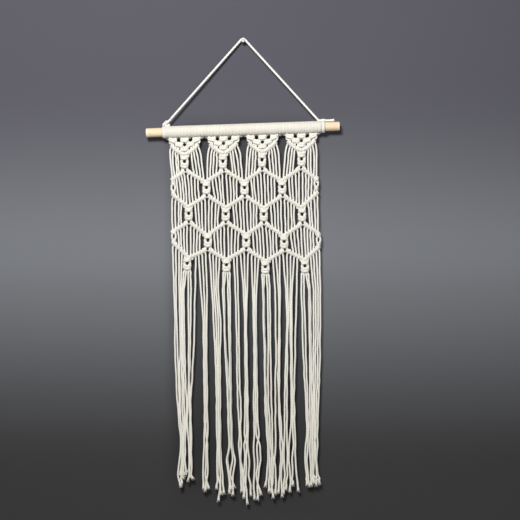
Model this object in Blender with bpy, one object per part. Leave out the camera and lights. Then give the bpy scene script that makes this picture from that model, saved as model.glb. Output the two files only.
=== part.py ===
"""A knotted macrame wall hanging: 48 cotton strands on a wooden dowel, a hanging cord and its nail.

Metres, +Z up.  The origin is the centre of the nail's flat back end, which sits on the wall: the
wall is the plane y = 0 and the hanging is in front of it, towards -Y, with +X to its right.
"""

import math
from collections import namedtuple

import bmesh
import bpy
from mathutils import Matrix, Vector

MM = 0.001

Point = namedtuple("Point", "x z")

# Driving dimensions, in millimetres.
GAP = 0.35  # clearance that pieces which touch keep

NAIL_SHANK_RADIUS = 1.5
NAIL_LENGTH = 11.0
NAIL_HEAD_RADIUS = 3.0
NAIL_HEAD_LENGTH = 1.2

CORD_RADIUS = 1.8
CORD_ON_NAIL_Y = -6.0
CORD_SPAN_POINTS = 18  # along each straight run
TURN_SIDES = 14
CORD_BEND = (148, 119, 90, 61, 32)  # degrees round the nail

PANEL_Y = -12.0  # the plane of the dowel's axis and of the knotting below it

DOWEL_RADIUS = 7.0
DOWEL_LENGTH = 300.0
DOWEL_CHAMFER = 0.8
DOWEL_CENTRE_X = -0.3
DOWEL_CENTRE_Z = -138.2
DOWEL_TILT = math.radians(2.0)  # the right end hangs higher
DOWEL_SIDES = 32
TURN_RADIUS = DOWEL_RADIUS + CORD_RADIUS + 0.6  # middle of a cord wrapped round the dowel

STRANDS = 48
MOTIFS = 4
STRANDS_PER_MOTIF = STRANDS // MOTIFS
STRAND_PITCH = 5.025  # along the dowel
STRAND_RADIUS = 2.05
BAND_RADIUS = 10.3  # over the loops that wrap the dowel
BAND_BORE = DOWEL_RADIUS + 0.6
BAND_GROOVE = 0.7
BAND_SIDES = 10

ROOT_SHARE = 0.86  # of its place on a bar that a strand of the fringe fills
WEB_DEPTH = 0.55  # half of what is left between two strands that hang side by side in the panel
BAR_RISE = 4.5  # a bar of hitches, from its middle to its upper or lower edge
BAR_DEPTH = 3.9  # from its middle to its front or back
BAR_GROOVE = 0.8  # share of the depth left between two hitches
V_RADIUS = 3.9
V_GROOVE = 0.84
V_BAR_Y = PANEL_Y - 0.1
KNOT_Y = PANEL_Y - 0.2
KNOT_DEPTH = 0.82  # square knots are flatter than they are wide
KNOT_RADIUS = 5.6
KNOT_NECK_RADIUS = 4.3

# The triangle of square knots at the head of each motif, from the motif's centre on the dowel's axis.
KNOT_SPREAD = 9.4  # sideways step from one knot to the next diagonal one
KNOT_DROP = 6.8  # downward step
FIRST_KNOT_DROP = 13.8
KNOT_TAPER = 0.4  # share of a step that a row of knots runs on, under the band and the V bar
V_ARM = (Point(27.0, -9.4), Point(24.6, -14.0), Point(20.6, -20.6), Point(9.0, -30.2), Point(0.0, -33.6))

# The four zigzag bars of diagonal hitches.  Each has nine corners, at the columns' x, left to right:
# the panel's edge, then motif centre and motif boundary in turn, then the other edge.
ZIGZAG_ROWS = ("first", "second", "third", "fourth")
Corner = namedtuple("Corner", "first_x first_z second_x second_z third_x third_z fourth_x fourth_z")
ZIGZAG_CORNERS = (
    Corner(-111.6, -217.0, -111.6, -237.0, -111.6, -298.0, -110.8, -311.0),
    Corner(-89.1, -201.5, -85.3, -258.2, -83.7, -281.5, -84.2, -337.0),
    Corner(-58.1, -219.5, -55.8, -240.4, -55.5, -302.4, -54.7, -323.6),
    Corner(-29.1, -201.3, -26.4, -259.0, -26.4, -282.0, -25.7, -340.0),
    Corner(1.9, -219.2, 3.1, -241.2, 5.3, -301.0, 5.0, -323.0),
    Corner(29.9, -199.8, 32.1, -259.8, 32.6, -282.7, 35.3, -342.4),
    Corner(60.0, -217.6, 61.7, -240.4, 62.9, -303.2, 65.1, -324.6),
    Corner(89.9, -197.5, 89.9, -259.0, 92.7, -283.3, 95.2, -340.0),
    Corner(116.3, -216.4, 117.8, -233.5, 118.6, -300.0, 120.1, -318.0),
)

# A pair of square knots on four strands with a small eye between them, joining one bar to the next.
PAIR_HALF_WIDTH = 3.9  # to the middle of each side
PAIR_SIDE_RADIUS = 2.1
PAIR_KNOT_RADIUS = 3.6
PAIR_INSET = 3.4  # from the bar that it hangs on to the knot's middle
PAIR_DEPTH = 0.8
EDGE_PAIR_SHARE = 0.62  # the panel's edges have narrow pairs on two strands
EDGE_PAIR_INSET = 4.6
LAST_PAIR_HALF_HEIGHT = 11.0
LAST_PAIR_RISE = 2.0  # its top is this far above the last bar's middle
HELD_PITCH = 3.7  # the strands of the fringe that leave a knot

# Each end of the hanging cord is turned once round the dowel, beside the band, and knotted on top.
Tie = namedtuple("Tie", "turn_x knot_x knot_z knot_width knot_height cord_x cord_z")
LEFT_TIE = Tie(-123.2, -118.9, -126.6, 11.0, 9.0, -112.2, -122.0)
RIGHT_TIE = Tie(122.9, 124.4, -123.0, 7.6, 6.0, 114.0, -120.7)
RIGHT_LEAD_TURN = Point(121.2, -121.1)  # where the cord turns over the band's end
TAIL = (Point(124.0, -123.0), Point(129.0, -122.4), Point(135.0, -122.9), Point(141.0, -121.6))

# The fringe falls in bundles of strands, in a front and a back layer.  gathered_x is the middle of a
# bundle below its roots, end_x and end_z of its ends; spacing and end_spacing are from strand to
# strand of one layer, and stagger is the share of it that the other layer is moved by.
Bundle = namedtuple("Bundle", "first count gathered_x end_x end_z spacing end_spacing stagger")
BUNDLES = (
    Bundle(0, 7, -92.5, -89.0, -678.0, 6.9, 7.0, 0.5),
    Bundle(7, 4, -58.7, -57.5, -697.0, 4.3, 5.0, 0.0),
    Bundle(11, 4, -38.6, -36.0, -713.0, 4.7, 6.2, 0.0),
    Bundle(15, 4, -21.8, -18.4, -703.0, 4.3, 6.6, 0.0),
    Bundle(19, 3, -6.1, -5.0, -717.0, 4.3, 6.0, 0.5),
    Bundle(22, 3, 4.7, 6.6, -712.0, 4.3, 6.0, 0.5),
    Bundle(25, 4, 18.8, 22.6, -711.0, 4.3, 6.4, 0.0),
    Bundle(29, 4, 38.1, 39.4, -708.0, 6.1, 6.2, 0.5),
    Bundle(33, 3, 52.0, 55.4, -706.0, 5.6, 7.0, 0.5),
    Bundle(36, 3, 66.2, 70.0, -698.0, 4.3, 6.4, 0.5),
    Bundle(39, 3, 76.0, 83.0, -696.0, 4.3, 7.0, 0.5),
    Bundle(42, 6, 106.2, 108.0, -688.0, 8.1, 9.4, 0.5),
)
FRINGE_LAYER_Y = 2.4  # a bundle is two strands deep
FRINGE_SPREAD_DROP = 36.0  # below the last bar, where the layers have parted
FRINGE_GATHER_DROP = 120.0  # where the bundles have gathered
FRINGE_FALLS = (0.0, FRINGE_SPREAD_DROP, 76.0, FRINGE_GATHER_DROP)
GATHER_START = 12.0
END_FLARE = 1.3  # the cut ends have opened a little
END_FLARE_LENGTH = 7.0
END_STAGGER = 6.0  # the strands of one bundle end at slightly different heights


def clear_scene():
    for obj in list(bpy.data.objects):
        bpy.data.objects.remove(obj, do_unlink=True)


def collection(name, hidden):
    made = bpy.data.collections.new(name)
    bpy.context.scene.collection.children.link(made)
    made.hide_render = hidden
    return made


def material(name, colour, roughness, metallic=0.0):
    made = bpy.data.materials.new(name)
    made.use_nodes = True
    shader = made.node_tree.nodes["Principled BSDF"]
    shader.inputs["Base Color"].default_value = (*colour, 1.0)
    shader.inputs["Roughness"].default_value = roughness
    shader.inputs["Metallic"].default_value = metallic
    made.diffuse_color = (*colour, 1.0)
    return made


def tube(points, radius, resolution, shares=None, cyclic=False, flatten=1.0, about_y=PANEL_Y):
    """A closed round mesh along points (mm).  shares scales the radius at each point, and flatten
    scales the depth about the plane y = about_y."""
    data = bpy.data.curves.new("tube", "CURVE")
    data.dimensions = "3D"
    data.bevel_depth = radius * MM
    data.bevel_resolution = resolution
    data.use_fill_caps = True
    spline = data.splines.new("POLY")
    spline.points.add(len(points) - 1)
    spline.use_cyclic_u = cyclic
    for place, co, share in zip(spline.points, points, shares or [1.0] * len(points)):
        place.co = (*(Vector(co) * MM), 1.0)
        place.radius = share
    obj = bpy.data.objects.new("tube", data)
    bpy.context.scene.collection.objects.link(obj)
    graph = bpy.context.evaluated_depsgraph_get()
    made = bpy.data.meshes.new_from_object(obj.evaluated_get(graph))
    bpy.data.objects.remove(obj, do_unlink=True)
    about = Matrix.Translation((0, about_y * MM, 0))
    made.transform(about @ Matrix.Diagonal((1, flatten, 1, 1)) @ about.inverted())
    mesh = bmesh.new()
    mesh.from_mesh(made)
    bmesh.ops.remove_doubles(mesh, verts=mesh.verts, dist=1e-6)
    bmesh.ops.recalc_face_normals(mesh, faces=mesh.faces)
    mesh.to_mesh(made)
    mesh.free()
    return made


def node(name, mesh, finish, home, smooth_angle=50.0):
    obj = bpy.data.objects.new(name, mesh)
    home.objects.link(obj)
    mesh.materials.clear()
    mesh.materials.append(finish)
    mesh.shade_smooth()
    mesh.set_sharp_from_angle(angle=math.radians(smooth_angle))
    return obj


def gathered(meshes):
    """One mesh that holds all of these."""
    joined = bmesh.new()
    for mesh in meshes:
        joined.from_mesh(mesh)
    made = bpy.data.meshes.new("gathered")
    joined.to_mesh(made)
    joined.free()
    return made


def boolean(obj, operation, operand, cutters):
    cutters.objects.link(operand)
    operand.hide_render = True
    operand.display_type = "WIRE"
    cut = obj.modifiers.new(operation.lower(), "BOOLEAN")
    cut.operation = operation
    cut.object = operand
    cut.use_self = operation == "UNION"


def dowel_axis_z(x):
    return DOWEL_CENTRE_Z + (x - DOWEL_CENTRE_X) * math.tan(DOWEL_TILT)


def smooth(share):
    share = min(max(share, 0.0), 1.0)
    return share * share * (3 - 2 * share)


# Where the strands run -------------------------------------------------------------------------


def motif_x(motif):
    return (motif - (MOTIFS - 1) / 2) * STRANDS_PER_MOTIF * STRAND_PITCH


def corners(row):
    """The nine corners of one zigzag bar."""
    name = ZIGZAG_ROWS[row]
    return [Point(getattr(c, name + "_x"), getattr(c, name + "_z")) for c in ZIGZAG_CORNERS]


def on_bar(row, place):
    """The bar's point at a place counted in strands from its left end, 0 to STRANDS."""
    found = corners(row)
    step = STRANDS / (len(found) - 1)
    index = min(int(place / step), len(found) - 2)
    share = place / step - index
    a, b = found[index], found[index + 1]
    return Point(a.x + (b.x - a.x) * share, a.z + (b.z - a.z) * share)


def on_v_arm(motif, place):
    """The point of a motif's V bar at a place counted in strands across the motif."""
    side = 2 * place / STRANDS_PER_MOTIF - 1
    arm = V_ARM[1:]
    reach = arm[0].x * abs(side)
    for upper, lower in zip(arm, arm[1:]):
        if reach >= lower.x:
            share = (upper.x - reach) / (upper.x - lower.x)
            x = motif_x(motif) + math.copysign(reach, side)
            return Point(x, dowel_axis_z(x) + upper.z + (lower.z - upper.z) * share)
    raise ValueError("a V bar has no point there")


def knotted(row, strand):
    """Whether a strand is held in a pair of knots below this bar: row 0 at the motifs' centres, row 1
    at their boundaries, and so on in turn."""
    place = strand % STRANDS_PER_MOTIF
    middle = abs(place + 0.5 - STRANDS_PER_MOTIF / 2) < 2
    return middle if row % 2 == 0 else place < 2 or place >= STRANDS_PER_MOTIF - 2


# The pieces ------------------------------------------------------------------------------------


def new_point(mesh, x, y, z):
    return mesh.verts.new((x * MM, y * MM, z * MM))


def bar_rings(mesh, row):
    """Six points across a bar at each groove and each hitch in turn: down its front, from the upper
    edge to the lower one, and up its back."""
    rings = []
    for step in range(2 * STRANDS + 1):
        middle = on_bar(row, step / 2)
        edge = STRAND_RADIUS if step % 2 else WEB_DEPTH
        bulge = BAR_DEPTH * (1.0 if step % 2 else BAR_GROOVE)
        front = ((-edge, BAR_RISE), (-bulge, 0.0), (-edge, -BAR_RISE))
        section = (*front, *((-y, z) for y, z in reversed(front)))
        rings.append([new_point(mesh, middle.x, PANEL_Y + y, middle.z + z) for y, z in section])
    return rings


def add_bar(mesh, rings, open_above, open_below):
    """The faces of a bar, but for the strands' places that something else closes, above or below."""
    for step, (a, b) in enumerate(zip(rings, rings[1:])):
        sides = {0, 1, 3, 4}
        if step // 2 not in open_above:
            sides.add(5)
        if step // 2 not in open_below:
            sides.add(2)
        for side in sides:
            after = (side + 1) % 6
            mesh.faces.new((a[side], a[after], b[after], b[side]))
    mesh.faces.new(rings[0])
    mesh.faces.new(rings[-1])


def upper_edge(rings):
    return [(ring[0], ring[-1]) for ring in rings]


def lower_edge(rings):
    return [(ring[2], ring[3]) for ring in rings]


def loose_edge(mesh, first, points):
    """A ribbon's own end, as pairs of points in front and behind, from a strand's left side on."""
    edge = []
    for step, point in enumerate(points, 2 * first):
        depth = STRAND_RADIUS if step % 2 else WEB_DEPTH
        edge.append([new_point(mesh, point.x, PANEL_Y + side * depth, point.z) for side in (-1, 1)])
    mesh.faces.new([front for front, _ in edge] + [back for _, back in reversed(edge)])
    return edge


def add_ribbon(mesh, top, bottom):
    """Free strands side by side, from one edge to another."""
    for upper, lower in (((a, b), (c, d)) for a, b, c, d in zip(top, top[1:], bottom, bottom[1:])):
        for side in (0, 1):
            mesh.faces.new((upper[0][side], upper[1][side], lower[1][side], lower[0][side]))
    for end in (0, -1):
        mesh.faces.new((*top[end], *reversed(bottom[end])))


def free_runs(row):
    """(first, last) for each run of strands that hang free above this bar."""
    breaks = range(0, STRANDS + 1, STRANDS_PER_MOTIF) if row == 0 else (0, STRANDS)
    free = [strand for strand in range(STRANDS) if not knotted(row, strand)]
    starts = [s for s in free if s - 1 not in free or s in breaks]
    ends = [s for s in free if s + 1 not in free or s + 1 in breaks]
    return list(zip(starts, ends))


def zigzag_net():
    """The upper bars and the free strands between them, down to just above the last bar."""
    mesh = bmesh.new()
    last = len(ZIGZAG_ROWS) - 1
    bars = [bar_rings(mesh, row) for row in range(last)]
    for row in range(last + 1):
        for first, final in free_runs(row):
            steps = range(2 * first, 2 * final + 3)
            run = slice(2 * first, 2 * final + 3)
            if row:
                top = lower_edge(bars[row - 1])[run]
            else:
                motif = first // STRANDS_PER_MOTIF
                start = motif * STRANDS_PER_MOTIF
                top = loose_edge(mesh, first, [on_v_arm(motif, s / 2 - start) for s in steps])
            if row < last:
                bottom = upper_edge(bars[row])[run]
            else:
                ends = [on_bar(row, s / 2) for s in steps]
                ends = [Point(p.x, p.z + BAR_RISE + GAP) for p in ends]
                bottom = loose_edge(mesh, first, ends)
            add_ribbon(mesh, top, bottom)
    for row, rings in enumerate(bars):
        free = [{s for a, b in free_runs(r) for s in range(a, b + 1)} for r in (row, row + 1)]
        add_bar(mesh, rings, *free)
    return finished(mesh, "zigzag_net")


def finished(mesh, name):
    bmesh.ops.recalc_face_normals(mesh, faces=mesh.faces)
    bmesh.ops.triangulate(mesh, faces=mesh.faces)
    if mesh.calc_volume(signed=True) < 0:
        bmesh.ops.reverse_faces(mesh, faces=mesh.faces)
    made = bpy.data.meshes.new(name)
    mesh.to_mesh(made)
    mesh.free()
    return made


def evenly(points, count):
    """Points spaced evenly along a line through points, count steps in all."""
    lengths = [(b - a).length for a, b in zip(points, points[1:])]
    found = []
    for step in range(count + 1):
        along = sum(lengths) * step / count
        index = 0
        while index < len(lengths) - 1 and along > lengths[index]:
            along -= lengths[index]
            index += 1
        found.append(points[index].lerp(points[index + 1], along / lengths[index]))
    return found


def v_bar(motif):
    """The two rows of hitches that border a motif's triangle, from the band down to its tip."""
    centre = motif_x(motif)
    side = evenly([Vector((p.x, V_BAR_Y, p.z)) for p in V_ARM], STRANDS_PER_MOTIF)
    path = [Vector((-p.x, p.y, p.z)) for p in side] + side[-2::-1]
    shares = [1.0 if step % 2 else V_GROOVE for step in range(len(path))]
    placed = [p + Vector((centre, 0, dowel_axis_z(centre + p.x))) for p in path]
    return tube(placed, V_RADIUS, 1, shares)


def knot_triangle(motif):
    """Rows of three, two and one square knots, as an outer V and an inner chevron that leave three
    openings."""
    made = []
    centre = motif_x(motif)
    neck = KNOT_NECK_RADIUS / KNOT_RADIUS
    outer, inner = ((2, 0), (1, 1), (0, 2), (-1, 1), (-2, 0)), ((1, 1), (0, 0), (-1, 1))
    for stops, radius in ((outer, KNOT_RADIUS), (inner, KNOT_RADIUS * 0.95)):
        knots = []
        for column, row in stops:
            x = centre + column * KNOT_SPREAD
            z = dowel_axis_z(x) - FIRST_KNOT_DROP - row * KNOT_DROP
            knots.append(Vector((x, KNOT_Y, z)))
        path = [knots[0] + (knots[0] - knots[1]) * KNOT_TAPER]
        shares = [0.5]
        for a, b in zip(knots, knots[1:]):
            path += [a, (a + b) / 2]
            shares += [1.0, neck]
        path += [knots[-1], knots[-1] + (knots[-1] - knots[-2]) * KNOT_TAPER]
        shares += [1.0, 0.5]
        made.append(tube(path, radius, 1, shares, flatten=KNOT_DEPTH))
    return made


def knot_pair(x, top, bottom, width=1.0):
    """Two square knots, one over the other, on the same strands: the eye between them is open."""
    side = PAIR_HALF_WIDTH * width
    lift = (top - bottom) / 2 - PAIR_INSET
    thin = PAIR_SIDE_RADIUS / PAIR_KNOT_RADIUS
    ring = ((-side, lift), (side, lift), (side, 0), (side, -lift), (-side, -lift), (-side, 0))
    shares = [width_share * (1.0 if width == 1.0 else 0.8) for width_share in (1, 1, thin, 1, 1, thin)]
    path = [(x + dx, KNOT_Y, (top + bottom) / 2 + dz) for dx, dz in ring]
    return tube(path, PAIR_KNOT_RADIUS, 1, shares, cyclic=True, flatten=PAIR_DEPTH, about_y=KNOT_Y)


def knot_pairs(row):
    """The pairs above one bar, each from the low corner above it to the high corner below it.  The
    last bar belongs to the fringe, so those pairs end just above it."""
    made = []
    room = BAR_RISE + 2 * GAP if row == len(ZIGZAG_ROWS) - 1 else 0.0
    below = [Point(p.x, p.z + room) for p in corners(row)]
    columns = (1, 3, 5, 7) if row % 2 == 0 else (2, 4, 6)
    for index, column in enumerate(columns):
        if row == 0:
            above = Point(motif_x(index), dowel_axis_z(motif_x(index)) + V_ARM[-1].z)
        else:
            above = corners(row - 1)[column]
        made.append(knot_pair((above.x + below[column].x) / 2, above.z, below[column].z))
    if row % 2:
        above = corners(row - 1)
        for column, side in ((0, 1), (-1, -1)):
            x = (above[column].x + below[column].x) / 2 + side * EDGE_PAIR_INSET
            made.append(knot_pair(x, above[column].z, below[column].z, EDGE_PAIR_SHARE))
    return made


def last_knot_pairs():
    found = corners(len(ZIGZAG_ROWS) - 1)
    return [
        knot_pair(p.x, p.z + LAST_PAIR_RISE, p.z + LAST_PAIR_RISE - 2 * LAST_PAIR_HALF_HEIGHT)
        for p in found[1::2]
    ]


def header_band():
    """The folded strands' loops round the dowel, as one ridged sleeve with an open bore."""
    loops = STRANDS // 2
    half = STRANDS * STRAND_PITCH / 2
    outline = [(BAND_BORE, half), (BAND_RADIUS - BAND_GROOVE, half)]
    for index in range(loops):
        end = half - index * 2 * STRAND_PITCH
        outline.append((BAND_RADIUS, end - STRAND_PITCH))
        outline.append((BAND_RADIUS - BAND_GROOVE, end - 2 * STRAND_PITCH))
    outline.append((BAND_BORE, -half))
    mesh = bmesh.new()
    ring = [mesh.verts.new((radius * MM, 0, along * MM)) for radius, along in outline]
    edges = [mesh.edges.new(pair) for pair in zip(ring, [*ring[1:], ring[0]])]
    bmesh.ops.spin(
        mesh, geom=[*ring, *edges], cent=(0, 0, 0), axis=(0, 0, 1),
        angle=math.tau, steps=BAND_SIDES, use_merge=True, use_duplicate=False,
    )
    bmesh.ops.remove_doubles(mesh, verts=mesh.verts, dist=1e-6)
    bmesh.ops.recalc_face_normals(mesh, faces=mesh.faces)
    made = bpy.data.meshes.new("header_band")
    mesh.to_mesh(made)
    mesh.free()
    turn = Matrix.Rotation(math.pi / 2 - DOWEL_TILT, 4, "Y")
    made.transform(Matrix.Translation((0, PANEL_Y * MM, dowel_axis_z(0) * MM)) @ turn)
    return made


def strand_ring(mesh, spot, size=STRAND_RADIUS):
    """The four corners of a strand: left, front, right and back."""
    corners_of = ((-size, 0), (0, -size), (size, 0), (0, size))
    return [new_point(mesh, spot.x + dx, spot.y + dy, spot.z) for dx, dy in corners_of]


def strand_root(mesh, rings):
    """The four corners of a strand where it leaves a bar's lower edge, and the faces round them."""
    left, middle, right = (lower_edge([ring])[0] for ring in rings)
    found = []
    for edge in (left, right):
        reach = min(1.0, STRAND_RADIUS * MM / abs(edge[0].co.x - middle[0].co.x)) * ROOT_SHARE
        spot = middle[0].co.lerp(edge[0].co, reach)
        corner = mesh.verts.new((spot.x, PANEL_Y * MM, spot.z))
        mesh.faces.new((edge[0], middle[0], corner))
        mesh.faces.new((edge[1], middle[1], corner))
        mesh.faces.new((edge[0], edge[1], corner))
        found.append(corner)
    return [found[0], middle[0], found[1], middle[1]]


def fringe_root(strand):
    """Where a strand of the fringe leaves the last bar, or the last knot below it."""
    last = len(ZIGZAG_ROWS) - 1
    if not knotted(last + 1, strand):
        return on_bar(last, strand + 0.5)
    motif, place = divmod(strand, STRANDS_PER_MOTIF)
    corner = corners(last)[2 * motif + 1]
    drop = 2 * LAST_PAIR_HALF_HEIGHT - LAST_PAIR_RISE - PAIR_INSET
    return Point(corner.x + (place + 0.5 - STRANDS_PER_MOTIF / 2) * HELD_PITCH, corner.z - drop)


def across(bundle, index):
    """A strand's place in its bundle, in spacings from the middle."""
    place, final = (i // 2 + i % 2 * bundle.stagger for i in (index, bundle.count - 1))
    return place - final / 2


def fringe_path(bundle, index):
    """Points down one strand of the fringe, from its root to its end."""
    strand = bundle.first + index
    layer = -1 if strand % 2 else 1
    root = fringe_root(strand)
    gathered_x = bundle.gathered_x + bundle.spacing * across(bundle, index)
    end_x = bundle.end_x + bundle.end_spacing * across(bundle, index)
    drop = root.z - bundle.end_z + END_STAGGER * math.sin(2.4 * strand)
    path = []
    for fall in (*FRINGE_FALLS, drop - END_FLARE_LENGTH, drop):
        parted = smooth(fall / FRINGE_SPREAD_DROP)
        in_bundle = smooth((fall - GATHER_START) / (FRINGE_GATHER_DROP - GATHER_START))
        late = smooth((fall - FRINGE_GATHER_DROP) / (drop - FRINGE_GATHER_DROP))
        x = root.x + (gathered_x - root.x) * in_bundle + (end_x - gathered_x) * late
        path.append(Vector((x, PANEL_Y + layer * FRINGE_LAYER_Y * parted, root.z - fall)))
    return path


def fringe_backing():
    """The last bar with the strands that hang from it."""
    mesh = bmesh.new()
    row = len(ZIGZAG_ROWS) - 1
    rings = bar_rings(mesh, row)
    hanging = set()
    for bundle in BUNDLES:
        for index in range(bundle.count):
            strand = bundle.first + index
            path = fringe_path(bundle, index)
            if knotted(row + 1, strand):
                root = strand_ring(mesh, path[0])
                mesh.faces.new(root)
            else:
                hanging.add(strand)
                root = strand_root(mesh, rings[2 * strand : 2 * strand + 3])
            levels = [root, *(strand_ring(mesh, spot) for spot in path[1:-1])]
            levels.append(strand_ring(mesh, path[-1], STRAND_RADIUS * END_FLARE))
            for a, b in zip(levels, levels[1:]):
                for corner in range(4):
                    mesh.faces.new((a[corner], a[corner - 1], b[corner - 1], b[corner]))
            mesh.faces.new(levels[-1])
    add_bar(mesh, rings, set(), hanging)
    return finished(mesh, "fringe_backing")


def nail_mesh():
    """Shank and head as one turned solid, its flat end on the wall."""
    mesh = bmesh.new()
    shank = NAIL_LENGTH - NAIL_HEAD_LENGTH
    outline = (
        (0.0, 0.0), (NAIL_SHANK_RADIUS, 0.0), (NAIL_SHANK_RADIUS, shank),
        (NAIL_HEAD_RADIUS, shank), (NAIL_HEAD_RADIUS, shank + NAIL_HEAD_LENGTH * 0.6),
        (NAIL_HEAD_RADIUS * 0.72, NAIL_LENGTH), (0.0, NAIL_LENGTH),
    )
    ring = [mesh.verts.new((radius * MM, -along * MM, 0)) for radius, along in outline]
    edges = [mesh.edges.new(pair) for pair in zip(ring, ring[1:])]
    bmesh.ops.spin(
        mesh, geom=[*ring, *edges], cent=(0, 0, 0), axis=(0, 1, 0),
        angle=math.tau, steps=16, use_merge=True, use_duplicate=False,
    )
    bmesh.ops.remove_doubles(mesh, verts=mesh.verts, dist=1e-6)
    bmesh.ops.dissolve_limit(mesh, angle_limit=1e-4, verts=mesh.verts, edges=mesh.edges)
    bmesh.ops.recalc_face_normals(mesh, faces=mesh.faces)
    made = bpy.data.meshes.new("nail")
    mesh.to_mesh(made)
    mesh.free()
    return made


def dowel_mesh():
    mesh = bmesh.new()
    bmesh.ops.create_cone(
        mesh, cap_ends=True, segments=DOWEL_SIDES, radius1=DOWEL_RADIUS * MM,
        radius2=DOWEL_RADIUS * MM, depth=DOWEL_LENGTH * MM,
    )
    rims = [e for e in mesh.edges if abs(e.verts[0].co.z - e.verts[1].co.z) < 1e-6]
    bmesh.ops.bevel(mesh, geom=rims, offset=DOWEL_CHAMFER * MM, segments=1, affect="EDGES")
    made = bpy.data.meshes.new("dowel")
    mesh.to_mesh(made)
    mesh.free()
    made.transform(Matrix.Rotation(math.pi / 2 - DOWEL_TILT, 4, "Y"))
    place = (DOWEL_CENTRE_X * MM, PANEL_Y * MM, DOWEL_CENTRE_Z * MM)
    made.transform(Matrix.Translation(place))
    return made


def cord_bend():
    """The cord's points round the nail."""
    over = NAIL_SHANK_RADIUS + CORD_RADIUS + GAP
    return [
        Vector((over * math.cos(math.radians(a)), CORD_ON_NAIL_Y, over * math.sin(math.radians(a))))
        for a in CORD_BEND
    ]


def hanging_cord_mesh():
    """The cord from the left tie, over the nail, to the right tie."""
    bend = cord_bend()
    left = Vector((LEFT_TIE.cord_x, PANEL_Y, LEFT_TIE.cord_z))
    right = Vector((RIGHT_TIE.cord_x, PANEL_Y, RIGHT_TIE.cord_z))
    shares = [index / CORD_SPAN_POINTS for index in range(CORD_SPAN_POINTS)]
    path = [left.lerp(bend[0], share) for share in shares]
    path += bend
    path += [right.lerp(bend[-1], share) for share in reversed(shares)]
    return tube(path, CORD_RADIUS, 2)


def tie_lead(tie, bend, turns=()):
    """The tie's own end of the cord, in line with the hanging cord and then into the knot."""
    end = Vector((tie.cord_x, PANEL_Y, tie.cord_z))
    along = (end - bend).normalized()
    path = [end + along * GAP, end + along * (GAP + 1.0)]
    path += [Vector((p.x, PANEL_Y, p.z)) for p in (*turns, Point(tie.knot_x, tie.knot_z))]
    return tube(path, CORD_RADIUS, 1)


def turn_round_dowel(tie):
    """One turn of cord round the dowel."""
    centre = Vector((tie.turn_x, PANEL_Y, dowel_axis_z(tie.turn_x)))
    ring = []
    for side in range(TURN_SIDES):
        angle = math.tau * side / TURN_SIDES
        ring.append(centre + Vector((0, math.cos(angle), math.sin(angle))) * TURN_RADIUS)
    return tube(ring, CORD_RADIUS, 1, cyclic=True)


def tie_knot(tie):
    """The knot on top of the dowel: two crossing turns, and the cord down to the turn round it."""
    middle = Vector((tie.knot_x, PANEL_Y, tie.knot_z))
    shares = (0.55, 0.9, 1.0, 0.9, 0.55)
    made = []
    for lean in (-0.3, 0.3):
        along = Vector((tie.knot_width * 0.36, 0, tie.knot_height * lean))
        path = [middle + along * step for step in (-1, -0.5, 0, 0.5, 1)]
        made.append(tube(path, tie.knot_height * 0.36, 1, shares))
    root = (tie.turn_x, PANEL_Y, dowel_axis_z(tie.turn_x) + TURN_RADIUS)
    made.append(tube([middle, root], CORD_RADIUS, 1))
    return made


def tail_mesh():
    """The loose end of the right tie, lying on the dowel."""
    path = [(p.x, PANEL_Y, dowel_axis_z(p.x) + DOWEL_RADIUS + GAP + CORD_RADIUS + 0.2) for p in TAIL]
    return tube(path, CORD_RADIUS, 1)


def main():
    clear_scene()
    parts = collection("macrame_wall_hanging", hidden=False)
    cutters = collection("cutters", hidden=True)
    cotton = material("cotton_cord", (0.83, 0.80, 0.70), 0.95)
    white_cord = material("white_cotton_cord", (0.90, 0.89, 0.86), 0.9)
    wood = material("birch_wood", (0.82, 0.66, 0.45), 0.6)
    steel = material("nail_steel", (0.62, 0.62, 0.64), 0.35, 1.0)

    def operand(name, mesh):
        return bpy.data.objects.new(name, mesh)

    def fused(name, first, rest, finish):
        obj = node(name, gathered(rest), finish, parts)
        boolean(obj, "UNION", operand(name + "_start", first), cutters)
        return obj

    node("wall_nail", nail_mesh(), steel, parts, 30.0)
    node("dowel", dowel_mesh(), wood, parts, 30.0)
    node("hanging_cord", hanging_cord_mesh(), white_cord, parts)
    left = [*tie_knot(LEFT_TIE), tie_lead(LEFT_TIE, cord_bend()[0])]
    fused("left_tie", turn_round_dowel(LEFT_TIE), left, white_cord)
    right = [*tie_knot(RIGHT_TIE), tie_lead(RIGHT_TIE, cord_bend()[-1], (RIGHT_LEAD_TURN,)), tail_mesh()]
    fused("right_tie", turn_round_dowel(RIGHT_TIE), right, white_cord)

    pieces = [zigzag_net()]
    for motif in range(MOTIFS):
        pieces += [v_bar(motif), *knot_triangle(motif)]
    for row in range(len(ZIGZAG_ROWS)):
        pieces += knot_pairs(row)
    fused("macrame_panel", header_band(), pieces, cotton)
    pairs = last_knot_pairs()
    fused("fringe", pairs[0], [fringe_backing(), *pairs[1:]], cotton)


main()
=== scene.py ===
"""A knotted cotton wall hanging on a birch dowel, with its hanging cord and the nail that holds it.

Metres, +Z up.  The wall is the plane y = 0 and the hanging is in front of it, towards -Y.  Sizes in
the tables below are in millimetres.  Those of the nail, the hanging cord, the dowel and the zigzag
bars are the part's own.
"""

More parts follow.
